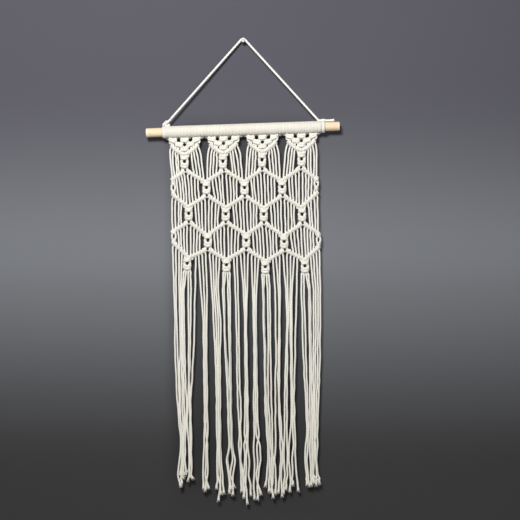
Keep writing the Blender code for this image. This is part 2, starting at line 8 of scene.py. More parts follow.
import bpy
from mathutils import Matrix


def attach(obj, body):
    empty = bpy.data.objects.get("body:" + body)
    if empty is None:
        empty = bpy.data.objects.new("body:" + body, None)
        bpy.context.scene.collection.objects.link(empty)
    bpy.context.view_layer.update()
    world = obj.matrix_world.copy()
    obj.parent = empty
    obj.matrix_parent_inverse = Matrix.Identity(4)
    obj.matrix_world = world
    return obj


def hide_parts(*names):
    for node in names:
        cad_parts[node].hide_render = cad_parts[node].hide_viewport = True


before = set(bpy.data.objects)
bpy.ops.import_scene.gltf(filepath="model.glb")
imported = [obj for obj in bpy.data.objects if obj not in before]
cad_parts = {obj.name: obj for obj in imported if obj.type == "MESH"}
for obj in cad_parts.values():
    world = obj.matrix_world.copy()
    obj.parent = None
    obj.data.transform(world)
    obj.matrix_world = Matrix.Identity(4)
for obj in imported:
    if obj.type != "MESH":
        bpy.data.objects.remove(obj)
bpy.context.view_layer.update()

import math
import random
from collections import namedtuple

import bpy
import numpy as np
from mathutils import Vector

bl_info = {
    "name": "Knotted Wall Hanging",
    "version": (1, 0, 0),
    "blender": (4, 5, 0),
    "location": "3D View > Sidebar > Hanging",
    "description": "Builds a knotted cotton wall hanging, its dowel, cord and nail, piece by piece",
    "category": "Add Mesh",
}

MM = 0.001
Point = namedtuple("Point", "x z")

NAIL_SHANK_RADIUS = 1.5
NAIL_LENGTH = 11.0
NAIL_HEAD_RADIUS = 3.0
NAIL_HEAD_LENGTH = 1.2

CORD_RADIUS = 1.8
CORD_LAY = 16.0  # the length in which its plies turn once
CORD_ON_NAIL_Y = -6.0
CORD_SPAN_POINTS = 18
CORD_BEND = (148, 119, 90, 61, 32)  # degrees round the nail
GAP = 0.35

PANEL_Y = -12.0
DOWEL_RADIUS = 7.0
DOWEL_LENGTH = 300.0
DOWEL_CENTRE_X = -0.3
DOWEL_CENTRE_Z = -138.2
DOWEL_TILT = math.radians(2.0)

STRANDS = 48
MOTIFS = 4
STRANDS_PER_MOTIF = 12
HALF_MOTIF = STRANDS_PER_MOTIF // 2
MIDDLE_PLACE = (STRANDS_PER_MOTIF - 1) / 2
STRAND_PITCH = 5.025

STRAND_RADIUS = 1.62
FREE = 0.88  # a strand between two bars is pulled thinner
HANGING = 0.87  # and one of the fringe a little thinner
WRAP_REACH = 8.55  # from the dowel's axis to the middle of a strand folded over it
WRAP_WIDE = 3.0  # a strand pressed against the dowel is wider and thinner
WRAP_THIN = 0.42
FOLD_REACH = 12.1
FOLD_ANGLE = 226.0

BAR_REACH = 2.2  # from the middle of a bar to the middle of a hitch round it
BAR_THIN = 0.78
BAR_CORE_RADIUS = 1.05
PEAK_GAP = 1.7  # the strands part at each peak, round a small hole over the leads
PEAK_DROP = 2.2

KNOT_Y = -12.2
KNOT_SIDE = 4.4  # from the knot's middle to its outer strands
KNOT_INNER = 1.55
KNOT_FRONT = 2.9
TRIANGLE_SIDE = 4.5
KNOT_SPREAD = 9.4
KNOT_DROP = 6.8
FIRST_KNOT_DROP = 13.8
KNOT_LEAN = 1.5  # the knots at a motif's sides slant towards its middle
# From the outer knot of the first row down to the motif's tip.
V_ARM = (
    Point(20.9, -20.0), Point(18.9, -23.6), Point(15.2, -26.6), Point(10.9, -29.8), Point(6.4, -33.0),
    Point(3.0, -34.4), Point(0.0, -35.0),
)

# The corners of each zigzag bar, from the left edge to the right one.
ZIGZAGS = [[Point(*corner) for corner in bar] for bar in (
    ((-111.6, -217.0), (-89.1, -201.5), (-58.1, -219.5), (-29.1, -201.3), (1.9, -219.2),
     (29.9, -199.8), (60.0, -217.6), (89.9, -197.5), (116.3, -216.4)),
    ((-111.6, -237.0), (-85.3, -258.2), (-55.8, -240.4), (-26.4, -259.0), (3.1, -241.2),
     (32.1, -259.8), (61.7, -240.4), (89.9, -259.0), (117.8, -233.5)),
    ((-111.6, -298.0), (-83.7, -281.5), (-55.5, -302.4), (-26.4, -282.0), (5.3, -301.0),
     (32.6, -282.7), (62.9, -303.2), (92.7, -283.3), (118.6, -300.0)),
    ((-110.8, -311.0), (-84.2, -337.0), (-54.7, -323.6), (-25.7, -340.0), (5.0, -323.0),
     (35.3, -342.4), (65.1, -324.6), (95.2, -340.0), (120.1, -318.0)),
)]
# The eye of each pair of knots: above the first bar, then above each bar in turn, then below the last.
EYES = (
    (Point(-90.7, -187.6), Point(-31.2, -187.2), Point(29.5, -184.8), Point(90.8, -183.7)),
    (Point(-56.6, -228.3), Point(2.3, -228.5), Point(60.8, -227.1)),
    (Point(-84.2, -268.2), Point(-26.8, -269.2), Point(32.2, -269.4), Point(91.5, -269.4)),
    (Point(-54.3, -309.4), Point(5.0, -310.0), Point(63.9, -311.9)),
    (Point(-86.5, -345.7), Point(-25.6, -348.1), Point(34.7, -351.1), Point(96.1, -349.7)),
)
EYE_HALF_HEIGHT = 2.75
EDGE_EYES = {
    (1, 0): Point(-108.0, -228.3), (1, 1): Point(113.5, -221.7),
    (3, 0): Point(-107.1, -303.6), (3, 1): Point(117.0, -309.1),
}

Tie = namedtuple("Tie", "turn_x cord_x cord_z")
LEFT_TIE = Tie(-122.6, -112.2, -122.0)
RIGHT_TIE = Tie(124.4, 114.0, -120.7)
LEFT_KNOT = Point(-118.9, -130.3)
TURN_REACH = DOWEL_RADIUS + 0.62 * CORD_RADIUS + 0.4
# The right tie's loose end, as how far along the dowel and how much thicker than the cord.
TAIL = ((120.6, 1.1), (124.0, 1.35), (128.5, 1.0), (134.5, 1.0), (139.5, 1.1), (141.2, 1.35))

# The fringe hangs in bundles.  Each has its first strand and its count, then its left and right edge
# at each of the levels, and the end of each of its strands.
Bundle = namedtuple("Bundle", "first count edges ends")
LEVELS = (-386.9, -434.9, -479.9, -518.6, -557.4, -596.1, -627.1, -650.4, -673.6)
BUNDLES = (
    Bundle(0, 2, (
        (-108.2, -102.3), (-106.2, -101.8), (-106.5, -100.0), (-104.9, -98.4), (-103.2, -96.9),
        (-100.4, -95.3), (-97.0, -93.0), (-99.4, -94.7), (-101.1, -96.4),
    ), ((-96.6, -690.7), (-92.1, -678.3))),
    Bundle(2, 4, (
        (-100.3, -90.2), (-99.2, -89.9), (-98.4, -89.1), (-100.0, -87.6), (-98.4, -86.3),
        (-97.3, -86.3), (-96.1, -88.4), (-96.9, -87.7), (-98.4, -87.7),
    ), ((-95.2, -687.6), (-90.8, -673.6), (-89.6, -670.5), (-87.4, -667.4))),
    Bundle(6, 2, (
        (-86.3, -79.2), (-85.6, -79.8), (-85.2, -80.9), (-85.2, -81.5), (-87.1, -81.4),
        (-87.4, -81.2), (-85.9, -80.3), (-85.2, -80.6), (-85.6, -80.9),
    ), ((-85.1, -681.8), (-82.2, -676.7))),
    Bundle(8, 1, (
        (-75.6, -72.1), (-77.0, -73.8), (-78.7, -75.0), (-80.3, -77.0), (-82.9, -79.4),
        (-82.8, -79.2), (-81.8, -78.4), (-81.4, -77.8), (-80.9, -77.3),
    ), ((-77.8, -678.7),)),
    Bundle(9, 3, (
        (-66.7, -54.2), (-62.8, -54.9), (-62.0, -55.0), (-62.0, -54.7), (-61.8, -54.6),
        (-61.2, -53.5), (-61.5, -53.2), (-62.3, -53.9), (-62.8, -52.9),
    ), ((-61.1, -694.1), (-58.6, -697.5), (-53.3, -693.8))),
    Bundle(12, 4, (
        (-49.6, -37.2), (-47.0, -33.3), (-44.5, -34.1), (-42.9, -34.1), (-42.0, -34.3),
        (-41.9, -34.1), (-41.4, -33.3), (-41.4, -32.7), (-41.9, -31.0),
    ), ((-41.1, -694.4), (-38.0, -713.0), (-34.1, -702.6), (-29.8, -701.1))),
    Bundle(16, 2, (
        (-32.6, -28.2), (-30.2, -26.8), (-29.0, -25.3), (-26.4, -22.3), (-24.8, -21.1),
        (-24.0, -20.3), (-22.9, -19.1), (-27.0, -23.2), (-23.2, -19.2),
    ), ((-20.8, -700.6), (-18.6, -695.3))),
    Bundle(18, 2, (
        (-24.8, -18.9), (-23.2, -18.6), (-22.3, -18.3), (-21.7, -18.0), (-21.1, -17.2),
        (-20.2, -16.4), (-19.1, -15.2), (-18.6, -11.9), (-19.8, -15.0),
    ), ((-13.6, -692.2), (-15.7, -703.7))),
    Bundle(20, 2, (
        (-13.2, -6.2), (-11.9, -5.1), (-10.8, -4.7), (-10.2, -3.7), (-9.1, -2.6),
        (-7.8, -2.2), (-7.1, -1.6), (-5.9, -1.6), (-4.7, 0.8),
    ), ((-2.2, -698.4), (1.6, -706.8))),
    Bundle(22, 3, (
        (-0.5, 7.9), (1.6, 6.7), (2.0, 7.1), (1.9, 7.8), (2.0, 8.7),
        (1.7, 8.8), (1.1, 9.0), (0.8, 10.2), (-0.8, 10.8),
    ), ((1.2, -707.7), (6.8, -717.8), (12.4, -704.8))),
    Bundle(25, 3, (
        (13.5, 22.2), (15.0, 21.4), (15.5, 22.6), (15.7, 22.9), (15.5, 23.2),
        (15.2, 25.0), (15.7, 27.0), (17.1, 27.9), (17.1, 25.4),
    ), ((17.7, -710.1), (22.8, -711.0), (27.6, -702.8))),
    Bundle(28, 2, (
        (29.4, 33.2), (30.2, 34.4), (31.5, 36.0), (32.2, 36.0), (32.7, 36.9),
        (34.7, 39.4), (36.9, 41.9), (38.0, 42.9), (36.4, 41.9),
    ), ((34.7, -690.7), (40.3, -698.4))),
    Bundle(30, 2, (
        (36.6, 43.2), (37.4, 43.7), (38.1, 44.0), (37.5, 44.8), (37.7, 45.6),
        (39.7, 47.3), (41.9, 47.3), (42.6, 48.1), (41.9, 47.4),
    ), ((46.8, -707.9), (43.4, -700.8))),
    Bundle(32, 1, (
        (48.4, 51.5), (49.0, 52.1), (49.4, 53.0), (48.8, 52.4), (48.4, 51.8),
        (48.4, 51.9), (48.7, 52.5), (47.4, 51.1), (48.1, 51.8),
    ), ((50.4, -701.5),)),
    Bundle(33, 2, (
        (53.8, 58.7), (54.6, 58.0), (53.6, 58.1), (53.0, 57.4), (54.1, 58.1),
        (55.0, 60.5), (56.7, 62.3), (56.6, 62.0), (57.0, 61.4),
    ), ((54.9, -700.6), (60.8, -706.3))),
    Bundle(35, 2, (
        (65.4, 70.7), (66.7, 71.6), (65.6, 69.9), (64.3, 69.6), (63.4, 69.8),
        (62.8, 69.4), (62.0, 69.8), (62.9, 70.1), (63.9, 70.1),
    ), ((62.6, -701.5), (66.5, -695.5))),
    Bundle(37, 2, (
        (72.1, 77.5), (72.2, 77.2), (72.7, 76.9), (72.9, 77.5), (73.8, 78.4),
        (72.9, 79.0), (70.7, 79.0), (70.4, 78.1), (70.4, 76.9),
    ), ((72.7, -698.6), (77.3, -688.7))),
    Bundle(39, 1, (
        (81.4, 84.9), (80.1, 83.7), (79.4, 83.1), (77.8, 81.2), (77.0, 80.6),
        (78.7, 82.5), (80.0, 83.5), (80.6, 84.2), (81.2, 84.6),
    ), ((85.7, -697.5),)),
    Bundle(40, 2, (
        (89.0, 96.1), (91.1, 97.5), (91.9, 98.3), (93.3, 100.0), (95.5, 101.7),
        (97.7, 103.5), (96.6, 102.8), (94.5, 100.8), (97.0, 102.8),
    ), ((99.2, -688.2), (102.6, -690.7))),
    Bundle(42, 2, (
        (100.8, 105.4), (101.7, 106.3), (102.3, 107.0), (102.0, 107.3), (102.0, 107.3),
        (102.9, 107.9), (102.6, 107.3), (102.0, 106.6), (102.9, 107.6),
    ), ((105.9, -689.1), (108.8, -684.5))),
    Bundle(44, 4, (
        (107.9, 121.4), (107.7, 121.4), (107.3, 120.6), (107.3, 120.0), (107.3, 118.4),
        (107.6, 116.9), (106.3, 116.2), (106.3, 115.8), (107.0, 116.6),
    ), ((110.4, -686.0), (113.5, -689.1), (116.2, -682.2), (118.9, -686.8))),
)
HELD_PITCH = 3.4
END_FLARE = 0.45
TUFT_FIBRES = 7

WALL_CENTRE_Z = 0.2  # metres

SIDES = 12
LOBES = (1.05, 1.0, 0.85, 1.0)  # across one ply of a three-ply strand
ROUND = (1.0,)


def colour_property(name, description, default):
    return bpy.props.FloatVectorProperty(
        name=name, description=description, subtype="COLOR", size=3, min=0.0, max=1.0, default=default,
    )


class StrandSettings(bpy.types.PropertyGroup):
    """Sizes and colours of the cotton"""

    radius: bpy.props.FloatProperty(
        name="Strand radius", description="Radius of one strand of the panel and fringe",
        default=STRAND_RADIUS * MM, min=0.001, max=0.003, precision=5, unit="LENGTH",
    )
    lay: bpy.props.FloatProperty(
        name="Lay length", description="Length of strand in which its plies turn once",
        default=14.0 * MM, min=0.005, max=0.05, precision=4, unit="LENGTH",
    )
    ring_step: bpy.props.FloatProperty(
        name="Ring step", description="Distance between the rings of a strand's mesh",
        default=1.55 * MM, min=0.0008, max=0.005, precision=5, unit="LENGTH",
    )
    colour: colour_property("Cotton", "Colour of the strands", (0.905, 0.893, 0.842))
    # The shade colour is the duller fibres' colour and also painted shade in the ply grooves.
    shade: colour_property("Cotton shade", "Colour of the strands' duller fibres", (0.73, 0.70, 0.618))
    cord_colour: colour_property(
        "Hanging cord", "Colour of the hanging cord and its ties", (0.955, 0.945, 0.91),
    )


class WoodSettings(bpy.types.PropertyGroup):
    """Colours of the dowel and the nail"""

    early: colour_property("Early wood", "Colour of the wood between the grain", (0.90, 0.76, 0.55))
    late: colour_property("Late wood", "Colour of the grain lines", (0.78, 0.58, 0.36))
    steel: colour_property("Nail", "Colour of the nail's steel", (0.32, 0.32, 0.34))


class StageSettings(bpy.types.PropertyGroup):
    """Light, floor and camera"""

    key_power: bpy.props.FloatProperty(
        name="Key light", description="Power of the large light in front, on the left",
        default=31.5, min=0.0, unit="POWER",
    )
    fill_power: bpy.props.FloatProperty(
        name="Fill light", description="Power of the large light in front, on the right",
        default=4.5, min=0.0, unit="POWER",
    )
    floor: colour_property("Floor", "Colour of the floor", (0.70, 0.70, 0.70))
    surround: colour_property("Surround", "Colour of the studio around the object", (0.05, 0.05, 0.055))
    # The background's three colours paint a glow of light on the wall: palest in the middle, darker
    # above and below.
    background_high: colour_property(
        "Background, high", "Background's colour above", (0.080, 0.079, 0.100),
    )
    background_middle: colour_property(
        "Background, middle", "Background's colour where it is palest", (0.166, 0.176, 0.197),
    )
    background_low: colour_property(
        "Background, low", "Background's colour below", (0.029, 0.029, 0.031),
    )
    # Strength of the shadow painted on the wall just behind the hanging.
    shade_behind: bpy.props.FloatProperty(
        name="Shade behind", description="How much duskier the wall is just behind the hanging",
        default=0.65, min=0.0, max=1.0, subtype="FACTOR",
    )
    lens: bpy.props.FloatProperty(
        name="Lens", description="Camera's focal length", default=85.0, min=10.0, unit="CAMERA",
    )


# Where the strands run -------------------------------------------------------------------------


def spot(x, y, z, wide=1.0, thin=1.0, press=(0.0, -1.0, 0.0)):
    """A point of a strand's route, with how far the strand is spread and flattened there."""
    return (x, y, z, wide, thin, *press)


def smooth(share):
    share = min(max(share, 0.0), 1.0)
    return share * share * (3 - 2 * share)


def dowel_axis_z(x):
    return DOWEL_CENTRE_Z + (x - DOWEL_CENTRE_X) * math.tan(DOWEL_TILT)


ALONG = Vector((math.cos(DOWEL_TILT), 0, math.sin(DOWEL_TILT)))
UP = Vector((-math.sin(DOWEL_TILT), 0, math.cos(DOWEL_TILT)))
FRONT = Vector((0, -1, 0))
BAND_MIDDLE = Vector((0, PANEL_Y, dowel_axis_z(0)))


def round_dowel(along, angle, reach, wide=1.0, thin=1.0):
    """A spot beside the dowel: angle 0 is its front, 90 its top and 180 its back."""
    turn = math.radians(angle)
    out = FRONT * math.cos(turn) + UP * math.sin(turn)
    place = BAND_MIDDLE + ALONG * along + out * reach
    return spot(*place, wide, thin, out)


def motif_x(motif):
    return (motif - (MOTIFS - 1) / 2) * STRANDS_PER_MOTIF * STRAND_PITCH


def on_bar(row, place):
    """The bar's point at a place counted in strands, with its direction, the length that one strand
    takes and the side on which its nearest peak is."""
    found = ZIGZAGS[row]
    step = STRANDS / (len(found) - 1)
    index = min(int(place / step), len(found) - 2)
    share = place / step - index
    a, b = found[index], found[index + 1]
    run = math.hypot(b.x - a.x, b.z - a.z)
    gap = PEAK_GAP / run
    share = share * (1 - gap) if b.z > a.z else gap + share * (1 - gap)
    point = Point(a.x + (b.x - a.x) * share, a.z + (b.z - a.z) * share)
    toward = Point((b.x - a.x) / run, (b.z - a.z) / run)
    return point, toward, (run - PEAK_GAP) / step, 1 if b.z > a.z else -1


def knotted(row, strand):
    place = strand % STRANDS_PER_MOTIF
    middle = abs(place - MIDDLE_PLACE) < 2
    return middle if row % 2 == 0 else place < 2 or place >= STRANDS_PER_MOTIF - 2


def header_wrap(strand):
    """From the fold behind the dowel, under it, up its front, over it and down again inside the fold."""
    along = (strand - (STRANDS - 1) / 2) * STRAND_PITCH
    middle = along + (0.5 - strand % 2) * STRAND_PITCH
    route = []
    for share, angle, reach in ((-0.3, 0, 0), (0.2, 0, 0), (0.6, 1, -0.1), (0.95, 9, -0.9)):
        place = middle + (along - middle) * share
        route.append(round_dowel(place, FOLD_ANGLE + angle, FOLD_REACH + reach, 1.05, 0.8))
    route.append(round_dowel(along, 252, 9.6, 1.25, 0.7))
    for angle in range(270, 541, 15):
        route.append(round_dowel(along, angle, WRAP_REACH, WRAP_WIDE, WRAP_THIN))
    for way_down in ((562, 8.5, 1.6, 0.65), (585, 9.7, 1.55, 0.75), (606, 10.9, 1.35, 0.85)):
        route.append(round_dowel(along, *way_down))
    return route


def square_knot(x, z, role, side, rise, depth=KNOT_FRONT, y=KNOT_Y, lean=0.0):
    """One strand's way through a square knot: the left strand crosses twice in front, the right one
    twice behind, round the two inner strands.  A knot with a lean slants down to its right."""
    s, r, d = side, rise, depth
    ways = {
        "inner left": ((-KNOT_INNER, 0, r + 2.2), (-KNOT_INNER, 0.1, 0), (-KNOT_INNER, 0, -r - 2.2)),
        "inner right": ((KNOT_INNER, 0, r + 2.2), (KNOT_INNER, 0.1, 0), (KNOT_INNER, 0, -r - 2.2)),
        "left": (
            (-s * 0.94, 0.2, r + 2.6), (-s, 1.2, r + 0.9), (-s * 0.62, d, r), (0, d + 0.3, r + 0.1),
            (s * 0.62, d, r - 0.25), (s, d * 0.65, r * 0.35), (s * 1.04, d * 0.5, 0),
            (s, d * 0.65, -r * 0.35), (s * 0.62, d, -r + 0.25), (0, d + 0.3, -r - 0.1),
            (-s * 0.62, d, -r), (-s, 1.2, -r - 0.9), (-s * 0.94, 0.2, -r - 2.6),
        ),
        "right": (
            (s * 0.94, 0.2, r + 2.6), (s * 1.08, 1.4, r + 0.9), (s * 1.12, 0.1, r * 0.6),
            (s * 0.5, -d, r * 0.7), (-s * 0.5, -d, r * 0.5), (-s * 1.05, -0.6, r * 0.5),
            (-s * 1.14, d * 0.6, 0), (-s * 1.05, -0.6, -r * 0.5), (-s * 0.5, -d, -r * 0.5),
            (s * 0.5, -d, -r * 0.7), (s * 1.12, -0.2, -r * 0.8), (s * 1.06, 1.3, -r - 1.0),
            (s * 0.94, 0.2, -r - 2.6),
        ),
    }
    wide = max(1.1, r / 1.4)
    slant = [0.0 if "inner" in role or abs(w) > r + 1 else lean * u / s for u, v, w in ways[role]]
    return [spot(x + u, y - v, z + w - fall, wide, 0.94) for (u, v, w), fall in zip(ways[role], slant)]


ROLES = ("left", "inner left", "inner right", "right")


def triangle_knots(strand):
    """The square knots at the head of a motif that this strand goes through."""
    motif, place = divmod(strand, STRANDS_PER_MOTIF)
    route = []
    for row in range(3):
        inset = 2 * row
        if not inset <= place < STRANDS_PER_MOTIF - inset:
            continue
        knot, role = divmod(place - inset, 4)
        count = 3 - row
        column = (knot - (count - 1) / 2) * 2
        x = motif_x(motif) + column * KNOT_SPREAD * (0.97 if row != 1 else 0.93)
        z = dowel_axis_z(x) - FIRST_KNOT_DROP - row * KNOT_DROP
        lean = KNOT_LEAN * max(-1, min(1, -column))
        route += square_knot(x, z, ROLES[role], TRIANGLE_SIDE, 1.45, lean=lean)
    return route


def arm_point(share):
    """The point a share of the way down a V's right arm, with its direction."""
    lengths = [math.hypot(b.x - a.x, b.z - a.z) for a, b in zip(V_ARM, V_ARM[1:])]
    along = share * sum(lengths)
    index = 0
    while index < len(lengths) - 1 and along > lengths[index]:
        along -= lengths[index]
        index += 1
    a, b = V_ARM[index], V_ARM[index + 1]
    part = along / lengths[index]
    toward = Point((b.x - a.x) / lengths[index], (b.z - a.z) / lengths[index])
    return Point(a.x + (b.x - a.x) * part, a.z + (b.z - a.z) * part), toward, sum(lengths) / HALF_MOTIF


def hitches(middle, toward, room, peak_side, entry=2.4, leave=2.8, reach=BAR_REACH, swing=0.0, tuck=0.0):
    """Two turns round a bar: in from above on the side of the nearest peak, straight down out of it."""
    along = Vector((toward.x, 0, toward.z))
    up = Vector((-toward.z, 0, toward.x))
    centre = Vector((middle.x, PANEL_Y, middle.z))
    wide = min(1.2, max(0.7, room / 2 / (2 * STRAND_RADIUS)))
    route = []
    for angle in (62, 30, 0, -45, -90, -135, -180, -225, -270, -320, -360, -400, -428):
        turn = math.radians(angle)
        out = FRONT * math.cos(turn) + up * math.sin(turn)
        shift = peak_side * room * (0.25 - 0.5 * (-angle / 360))
        place = centre + out * reach + along * shift
        route.append(spot(*place, wide, BAR_THIN, out))
    x, y, z = route[0][:3]
    before = [spot(x, y + 0.9, z + entry, FREE, FREE)]
    after = Vector(route[-1][:3]) - up * swing
    return before + route + [spot(after.x + tuck, after.y + 0.9, after.z - leave, FREE, FREE)]


def v_hitches(strand):
    """The turns round a V's arm, or round its tip."""
    motif, place = divmod(strand, STRANDS_PER_MOTIF)
    side = -1 if place < HALF_MOTIF else 1
    from_edge = place if side < 0 else STRANDS_PER_MOTIF - 1 - place
    point, toward, room = arm_point((from_edge + 0.5) / HALF_MOTIF)
    x = motif_x(motif) + side * point.x
    middle = Point(x, dowel_axis_z(x) + point.z)
    along = Point(toward.x * side, toward.z)
    if along.x < 0:
        along = Point(-along.x, -along.z)
    return hitches(middle, along, room, side, entry=1.0, leave=2.2, reach=2.45, swing=1.4)


def free_run(top, bottom, wobble, strand, row):
    """A strand that hangs free between two bars, with the small bends of a real one."""
    noise = random.Random(100 * row + strand)
    a, b = Vector(top[:3]), Vector(bottom[:3])
    place = strand % STRANDS_PER_MOTIF
    bow = 0.0
    if row == 0:
        from_edge = min(place, STRANDS_PER_MOTIF - 1 - place)
        bow = (1.5 - 0.7 * from_edge) * (-1 if place < HALF_MOTIF else 1)
    route = []
    aside = noise.uniform(-0.6, 0.6)
    for share in (0.22, 0.48, 0.76):
        point = a.lerp(b, share)
        point.x += bow * (1.1 - share) + aside
        point.x += noise.uniform(-wobble, wobble)
        point.y += noise.uniform(-wobble, wobble) - 0.15
        route.append(spot(*point, FREE, FREE))
    return route


def pair_route(row, strand, upper_z, lower_z):
    """A strand's way through a pair of square knots and round the eye between them."""
    motif, place = divmod(strand, STRANDS_PER_MOTIF)
    if row % 2 == 0:
        eye, role = EYES[row][motif], place - 4
    else:
        column = motif if place >= 10 else motif - 1
        role = place - 10 if place >= 10 else place + 2
        eye = EYES[row][column]
    route = []
    out = -1 if role < 2 else 1
    for sign, edge in ((1, upper_z), (-1, lower_z)):
        inner = eye.z + sign * EYE_HALF_HEIGHT
        half = max(2.7, abs(edge - inner) / 2)
        rise = min(1.9, half - 1.4)
        middle = inner + sign * half
        if role in (0, 3):
            route += square_knot(eye.x, middle, ROLES[role], KNOT_SIDE, rise)
            if sign > 0:
                route.append(spot(eye.x + out * 5.0, KNOT_Y - 0.9, eye.z))
            continue
        way = (
            (KNOT_INNER, middle + sign * (rise + 1.8)), (KNOT_INNER, middle),
            (2.0, middle - sign * (rise + 0.2)), (3.45, eye.z + sign * 1.3),
        )
        for reach, z in way if sign > 0 else reversed(way):
            route.append(spot(eye.x + out * reach, KNOT_Y + (0.9 if reach > 3 else 0), z))
    # The pair is widest at its eye.
    return [
        (eye.x + (x - eye.x) * (1.06 - 0.026 * abs(z - eye.z)), y, z, *rest) for x, y, z, *rest in route
    ]


def edge_pair(row, strand):
    """Two strands of the panel's edge, turned round each other above and below a long eye."""
    side = 0 if strand < 2 else 1
    eye = EDGE_EYES[(row, side)]
    outer = strand in (0, STRANDS - 1)
    out = -1 if side == 0 else 1
    route = []
    for sign in (1, -1):
        for step in range(5):
            lean = (0 if outer else math.pi) + math.radians(90 * step)
            z = eye.z + sign * 6.8 - (step - 2) * 1.4
            x = eye.x + out * 2.1 * math.cos(lean)
            route.append(spot(x, KNOT_Y - 1.9 * math.sin(lean), z, 1.1, 1))
        if sign > 0:
            route.append(spot(eye.x + out * (3.0 if outer else -2.8), KNOT_Y, eye.z, 0.95, 0.95))
    return route


def lead_in(over):
    """Where a strand of the panel ends, inside the last bar's hitches."""
    x, y, z = over[0][:3]
    return [spot(x, depth, z - down, FREE, FREE) for depth, down in ((y, 0), (y, 1.2), (PANEL_Y, 3.2))]


def tuck(row, strand):
    """How far a strand moves back towards the peak it hangs beside, below the bar's small hole."""
    place = strand % STRANDS_PER_MOTIF
    from_middle, from_edge = abs(place - MIDDLE_PLACE) - 0.5, min(place, STRANDS_PER_MOTIF - 1 - place)
    from_peak = from_middle if row % 2 == 0 else from_edge
    peak = (place < HALF_MOTIF) == (row % 2 == 0)
    return max(0.0, 1.3 - 0.6 * from_peak) * (1 if peak else -1)


def panel_route(strand):
    """One strand from its fold behind the dowel down to the last bar."""
    route = header_wrap(strand) + triangle_knots(strand) + v_hitches(strand)
    motif = strand // STRANDS_PER_MOTIF
    for row in range(4):
        middle, toward, room, peak = on_bar(row, strand + 0.5)
        outer = knotted(row, strand) and not knotted(row, strand - peak)
        into = hitches(middle, toward, room, peak, 0.5 if outer else 2.4, tuck=tuck(row, strand))
        if row == 3:
            into = lead_in(into)
        edge = strand < 2 or strand >= STRANDS - 2
        if knotted(row, strand):
            if row % 2 and edge:
                route += edge_pair(row, strand)
            else:
                right = strand % STRANDS_PER_MOTIF >= HALF_MOTIF
                column = 2 * motif + 1 if row % 2 == 0 else 2 * (motif + right)
                if row == 0:
                    upper = dowel_axis_z(motif_x(motif)) + V_ARM[-1].z - 3.6
                else:
                    upper = ZIGZAGS[row - 1][column].z - 3.4
                route += pair_route(row, strand, upper, ZIGZAGS[row][column].z + 3.0)
        else:
            route += free_run(route[-1], into[0], 0.35, strand, row)
        route += into
    return route


def fringe_place(bundle, index, left, right):
    """A strand's x and y between the two edges of its bundle: behind each other where there is no
    room side by side."""
    steps = max(1, bundle.count - 1)
    radius = STRAND_RADIUS * HANGING
    pitch = (right - left - 2 * radius) / steps
    if bundle.count == 1:
        return (left + right) / 2, PANEL_Y
    depth = math.sqrt(max(0.0, (1.95 * radius) ** 2 - pitch**2)) / 2
    layer = 1 if (bundle.first + index) % 2 else -1
    return left + radius + pitch * index, PANEL_Y + layer * depth


def crinkled(route, noise):
    """The route with the small bends of unravelled cord between its spots, more of them lower down."""
    made = [route[0]]
    for a, b in zip(route, route[1:]):
        start, end = Vector(a[:3]), Vector(b[:3])
        pieces = int((end - start).length / 9)
        for piece in range(1, pieces):
            place = start.lerp(end, piece / pieces)
            bend = 0.22 + 0.4 * smooth((-380 - place.z) / 300)
            place.x += noise.uniform(-bend, bend)
            place.y += noise.uniform(-bend, bend)
            made.append(spot(*place, HANGING, HANGING))
        made.append(b)
    return made


def fringe_route(bundle, index):
    """One strand from the last bar, through the last knots if it is held there, to its cut end."""
    strand = bundle.first + index
    noise = random.Random(7 + strand)
    middle, toward, room, peak = on_bar(3, strand + 0.5)
    route = hitches(middle, toward, room, peak, tuck=tuck(3, strand))
    if knotted(4, strand):
        motif, place = divmod(strand, STRANDS_PER_MOTIF)
        eye = EYES[4][motif]
        corner = ZIGZAGS[3][2 * motif + 1]
        route += pair_route(4, strand, corner.z - 3.4, eye.z - EYE_HALF_HEIGHT - 6.6)
        root = Point(eye.x + (place - MIDDLE_PLACE) * HELD_PITCH, eye.z - 12.5)
        route.append(spot(root.x, PANEL_Y, root.z))
    end_x, end_z = bundle.ends[index]
    order = list(range(bundle.count))
    if bundle.count > 2:
        noise_order = random.Random(bundle.first)
        a = noise_order.randrange(bundle.count - 1)
        order[a], order[a + 1] = order[a + 1], order[a]
    start = Vector(route[-1][:3])
    x, y = fringe_place(bundle, index, *bundle.edges[0])
    first = Vector((x, y, LEVELS[0]))
    for share in (0.25, 0.5, 0.75):
        place = start.lerp(first, share)
        place.x += noise.uniform(-0.3, 0.3)
        route.append(spot(*place, HANGING, HANGING))
    for level, (z, (left, right)) in enumerate(zip(LEVELS, bundle.edges)):
        late = level / (len(LEVELS) - 1)
        at = order[index] if level >= 6 else index
        x, y = fringe_place(bundle, at, left, right)
        wobble = 0.25 + 1.1 * late * late
        x += noise.uniform(-wobble, wobble)
        y += noise.uniform(-wobble, wobble) * 0.8
        route.append(spot(x, y, z, HANGING, HANGING))
        if level < len(LEVELS) - 1 and LEVELS[level + 1] < z - 30:
            after = fringe_place(bundle, index, *bundle.edges[level + 1])
            bend = noise.uniform(-0.5, 0.5)
            middle_z = (z + LEVELS[level + 1]) / 2
            route.append(spot((x + after[0]) / 2 + bend, (y + after[1]) / 2, middle_z, HANGING, HANGING))
    last = Vector(route[-1][:3])
    route = crinkled(route, noise)
    tip = Vector((end_x, PANEL_Y + noise.uniform(-1.8, 1.8), end_z))
    if last.z - tip.z > 9:
        place = last.lerp(tip, 0.5)
        place.x += noise.uniform(-1.3, 1.3)
        route.append(spot(*place))
    neck = last.lerp(tip, max(0.55, 1 - 6.0 / (last - tip).length))
    route.append(spot(*neck))
    route.append(spot(*tip, 1 + END_FLARE, 1 + END_FLARE))
    return route


